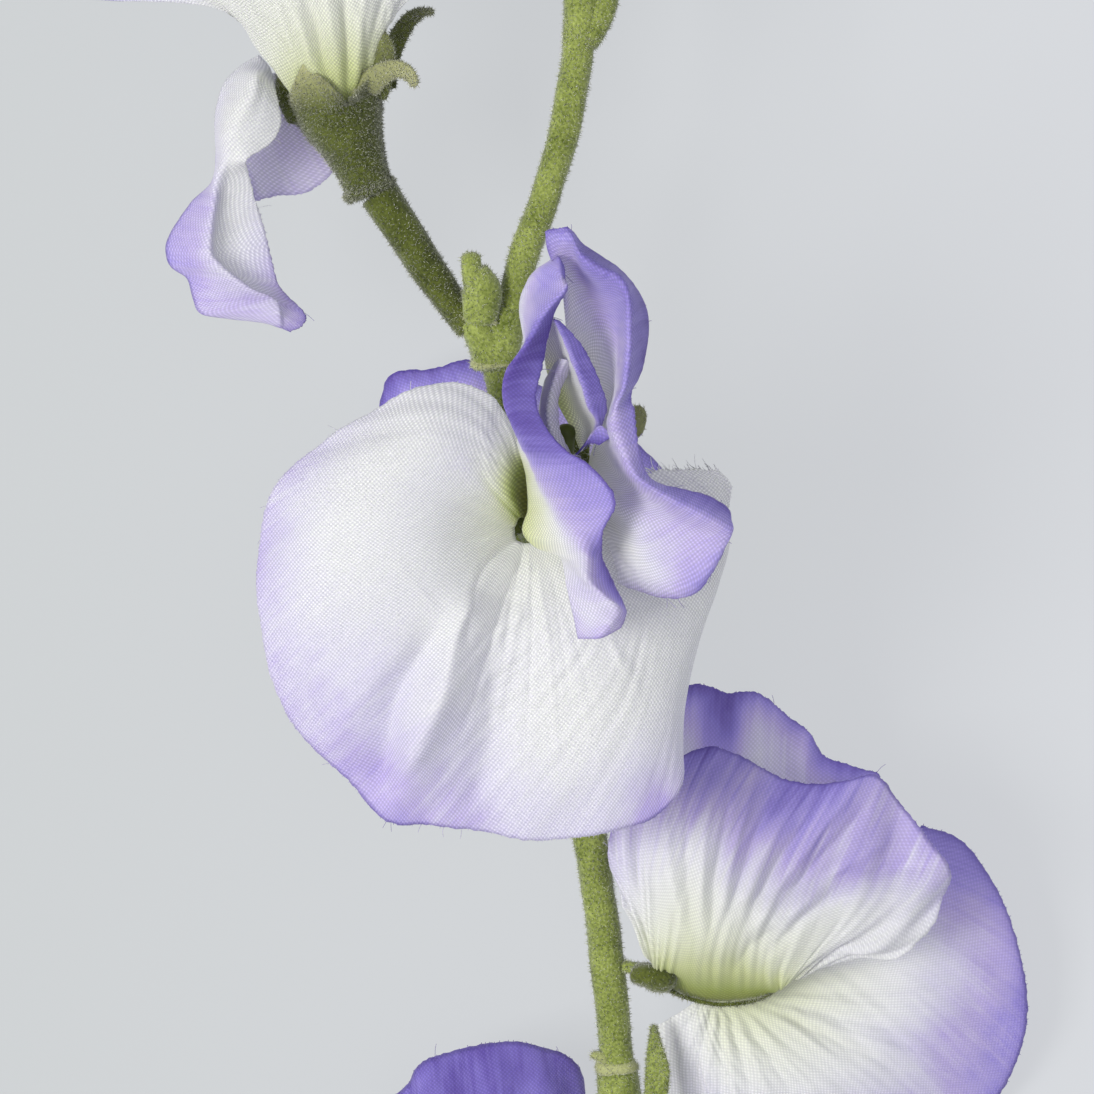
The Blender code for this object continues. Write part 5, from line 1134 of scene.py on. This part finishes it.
def buildUnderBlossom():
    shape = newSkin()
    rod(shape, [(-2.1, 0.5, 20.2), (-2.3, 0.2, 18.9), (-2.5, 0.0, 17.2)], (1.15, 1.15, 1.2), sides=18)
    flocked("under_pedicel", ["under_pedicel"], shape, 0.7)
    shape = newSkin()
    goblet(shape, (-2.5, 0.0, 17.7), (0, 0, -1), (0, 1, 0),
           ((1.0, 0.0), (1.8, 0.8), (2.6, 3.0), (3.2, 5.0), (3.3, 5.8), (2.8, 5.6), (2.0, 4.4), (0.6, 3.8)), 40, 32)
    crown(shape, layoutFrame((-2.5, 0.0, 17.7), (0, 0, -1), (0, 1, 0)), 5.4, 3.1, 0.5, 1.4, 1.2)
    flocked("under_calyx", ["under_calyx"], shape, 0.6)
    # each rib: degrees round the skirt, reach, height at the edge, dye there
    skirt = ((-60, 15.0, 0.5, 0.8), (-25, 17.0, 0.4, 0.8), (10, 17.5, 0.5, 0.8), (45, 16.0, 0.8, 0.8),
             (80, 16.5, 2.5, 0.8), (104, 19.8, 9.4, 0.95), (117, 20.6, 9.4, 1.0), (128, 22.4, 7.6, 1.0),
             (140, 19.8, 4.0, 0.9), (165, 18.4, 0.6, 0.8), (200, 18.0, 0.45, 0.8), (235, 17.0, 0.5, 0.8),
             (265, 16.0, 0.5, 0.8))
    ribs = []
    centre = Vector((-2.5, 0.0, 0.0))
    for degrees, radius, height, edgeDye in skirt:
        out = Vector((math.cos(math.radians(degrees)), math.sin(math.radians(degrees)), 0.0))
        shoulder = (centre + out * radius * 0.75 + Vector((0, 0, 4.2 + height * 0.6)), 0.35)
        ribs.append([(*p, dye) for p, dye in (
            (centre + out * 2.2 + Vector((0, 0, 10.2)), -0.6), (centre + out * 7.4 + Vector((0, 0, 9.8)), 0.0),
            shoulder, (centre + out * radius + Vector((0, 0, height)), edgeDye))])
    petal("under_banner", "under_banner", "petal_violet", ribs, across=150, along=36, ruffle=0.1,
          ruffleLength=8.0, finePleats=0.06, seed=81)
    for side, word in ((-1, "left"), (1, "right")):
        ribs = [
            [(-2.5 + side * 1.0, 1.4, 9.4, -0.4), (-2.5 + side * 2.6, 5.0, 6.4, 0.2), (-2.5 + side * 4.4, 7.6, 2.2, 0.8)],
            [(-2.5 + side * 1.5, -0.4, 9.4, -0.4), (-2.5 + side * 4.2, -0.6, 6.6, 0.2),
             (-2.5 + side * 7.2, -0.8, 2.0, 0.8)],
            [(-2.5 + side * 1.0, -2.0, 9.4, -0.4), (-2.5 + side * 2.6, -5.0, 6.4, 0.2),
             (-2.5 + side * 4.4, -7.6, 2.2, 0.8)],
        ]
        petal(f"under_wing_{word}", f"under_wing_{word}", "petal_violet", ribs, across=50, along=30, seed=83 + side)
    keel = [
        [(-3.1, 1.0, 8.2, -0.3), (-3.5, 2.4, 5.0, 0.2), (-3.0, 3.2, 1.8, 0.7)],
        [(-2.5, -0.8, 8.0, -0.3), (-2.5, -0.8, 4.8, 0.2), (-2.5, 0.6, 1.6, 0.7)],
        [(-1.9, 1.0, 8.2, -0.3), (-1.5, 2.4, 5.0, 0.2), (-2.0, 3.2, 1.8, 0.7)],
    ]
    petal("under_keel", "under_keel", "petal_lilac", keel, across=30, along=24, seed=87)


def buildTipBud():
    # closed bud: one petal sheet rolled round itself in a widening spiral, about 1.3 turns
    roll = []
    for k in range(13):
        angle = 2.6 * math.pi * k / 12
        grow = 1.0 + 0.16 * k / 12
        rib = []
        for radius, along_, dye in ((0.5, 0.0, -0.4), (1.9, 0.33, 0.1), (1.8, 0.66, 0.5), (0.35, 1.0, 0.9)):
            centre = Vector(smooth([(5.05, 73.6, 21.9), (4.6, 76.2, 21.1), (3.8, 78.4, 20.6), (2.7, 80.0, 20.4)],
                                   np.array([along_]))[0])
            out = Vector((math.cos(angle), 0.25 * math.sin(angle), math.sin(angle))) * radius * grow
            rib.append((*(centre + out), dye))
        roll.append(rib)
    petal("tip_petals", "tip_petals", "petal_lilac", roll, across=80, along=30, seed=91, rims="top right")


buildLowerBlossom()
buildUnderBlossom()
buildTipBud()
print("other blossoms ready")


# ---- floor, light and camera

studio = {"floor": "606264", "skyStrength": 0.5, "key": 12.0, "fill": 1.2, "top": 2.0}


def buildStudio():
    shape = bmesh.new()
    bmesh.ops.create_grid(shape, x_segments=1, y_segments=1, size=3.0)
    mesh = bpy.data.meshes.new("floor")
    shape.to_mesh(mesh)
    shape.free()
    paper = Finish("floorPaper", Roughness=0.9, Specular_IOR_Level=0.1, Emission_Strength=1.0)
    where = paper.node("ShaderNodeTexCoord", output="Object")
    sideways, _, _ = paper.parts(where)
    # painted light: the floor glows, a little brighter towards +x, which keeps the shadows cast on it faint
    glow = paper.mix((sideways * 8.0 + 0.5).clamp(), tint("babdbe"), tint("c5c7cb"))
    mesh.materials.append(paper.wear(Base_Color=tint(studio["floor"]), Emission_Color=glow))
    floor = bpy.data.objects.new("floor", mesh)
    bpy.context.scene.collection.objects.link(floor)
    world = bpy.data.worlds.new("studioAir")
    world.use_nodes = True
    world.node_tree.nodes["Background"].inputs["Color"].default_value = tint("f3f4f7")
    world.node_tree.nodes["Background"].inputs["Strength"].default_value = studio["skyStrength"]
    bpy.context.scene.world = world
    for name, spot, size, power, colour in (
            ("keyLight", (-0.74, -0.12, 1.02), 0.5, studio["key"], "fffdf9"),
            ("fillLight", (1.0, 0.3, 0.8), 1.2, studio["fill"], "eef2ff"),
            ("topLight", (0.05, 0.1, 1.6), 0.9, studio["top"], "fffefc")):
        light = bpy.data.lights.new(name, "AREA")
        light.size = size
        light.energy = power
        light.color = tint(colour)[:3]
        lamp = bpy.data.objects.new(name, light)
        lamp.location = spot
        lamp.rotation_euler = (Vector((0, 0, 0.03)) - Vector(spot)).to_track_quat("-Z", "Y").to_euler()
        bpy.context.scene.collection.objects.link(lamp)
    lens = bpy.data.cameras.new("camera")
    lens.sensor_width = 36.0
    lens.lens = 36.0 * 1.0 / 0.1094
    lens.clip_end = 20.0
    camera = bpy.data.objects.new("camera", lens)
    camera.location = (0.00070, 0.00818, 1.040)
    bpy.context.scene.collection.objects.link(camera)
    bpy.context.scene.camera = camera
    bpy.context.scene.view_settings.view_transform = "Standard"


buildStudio()
print("spray ready")
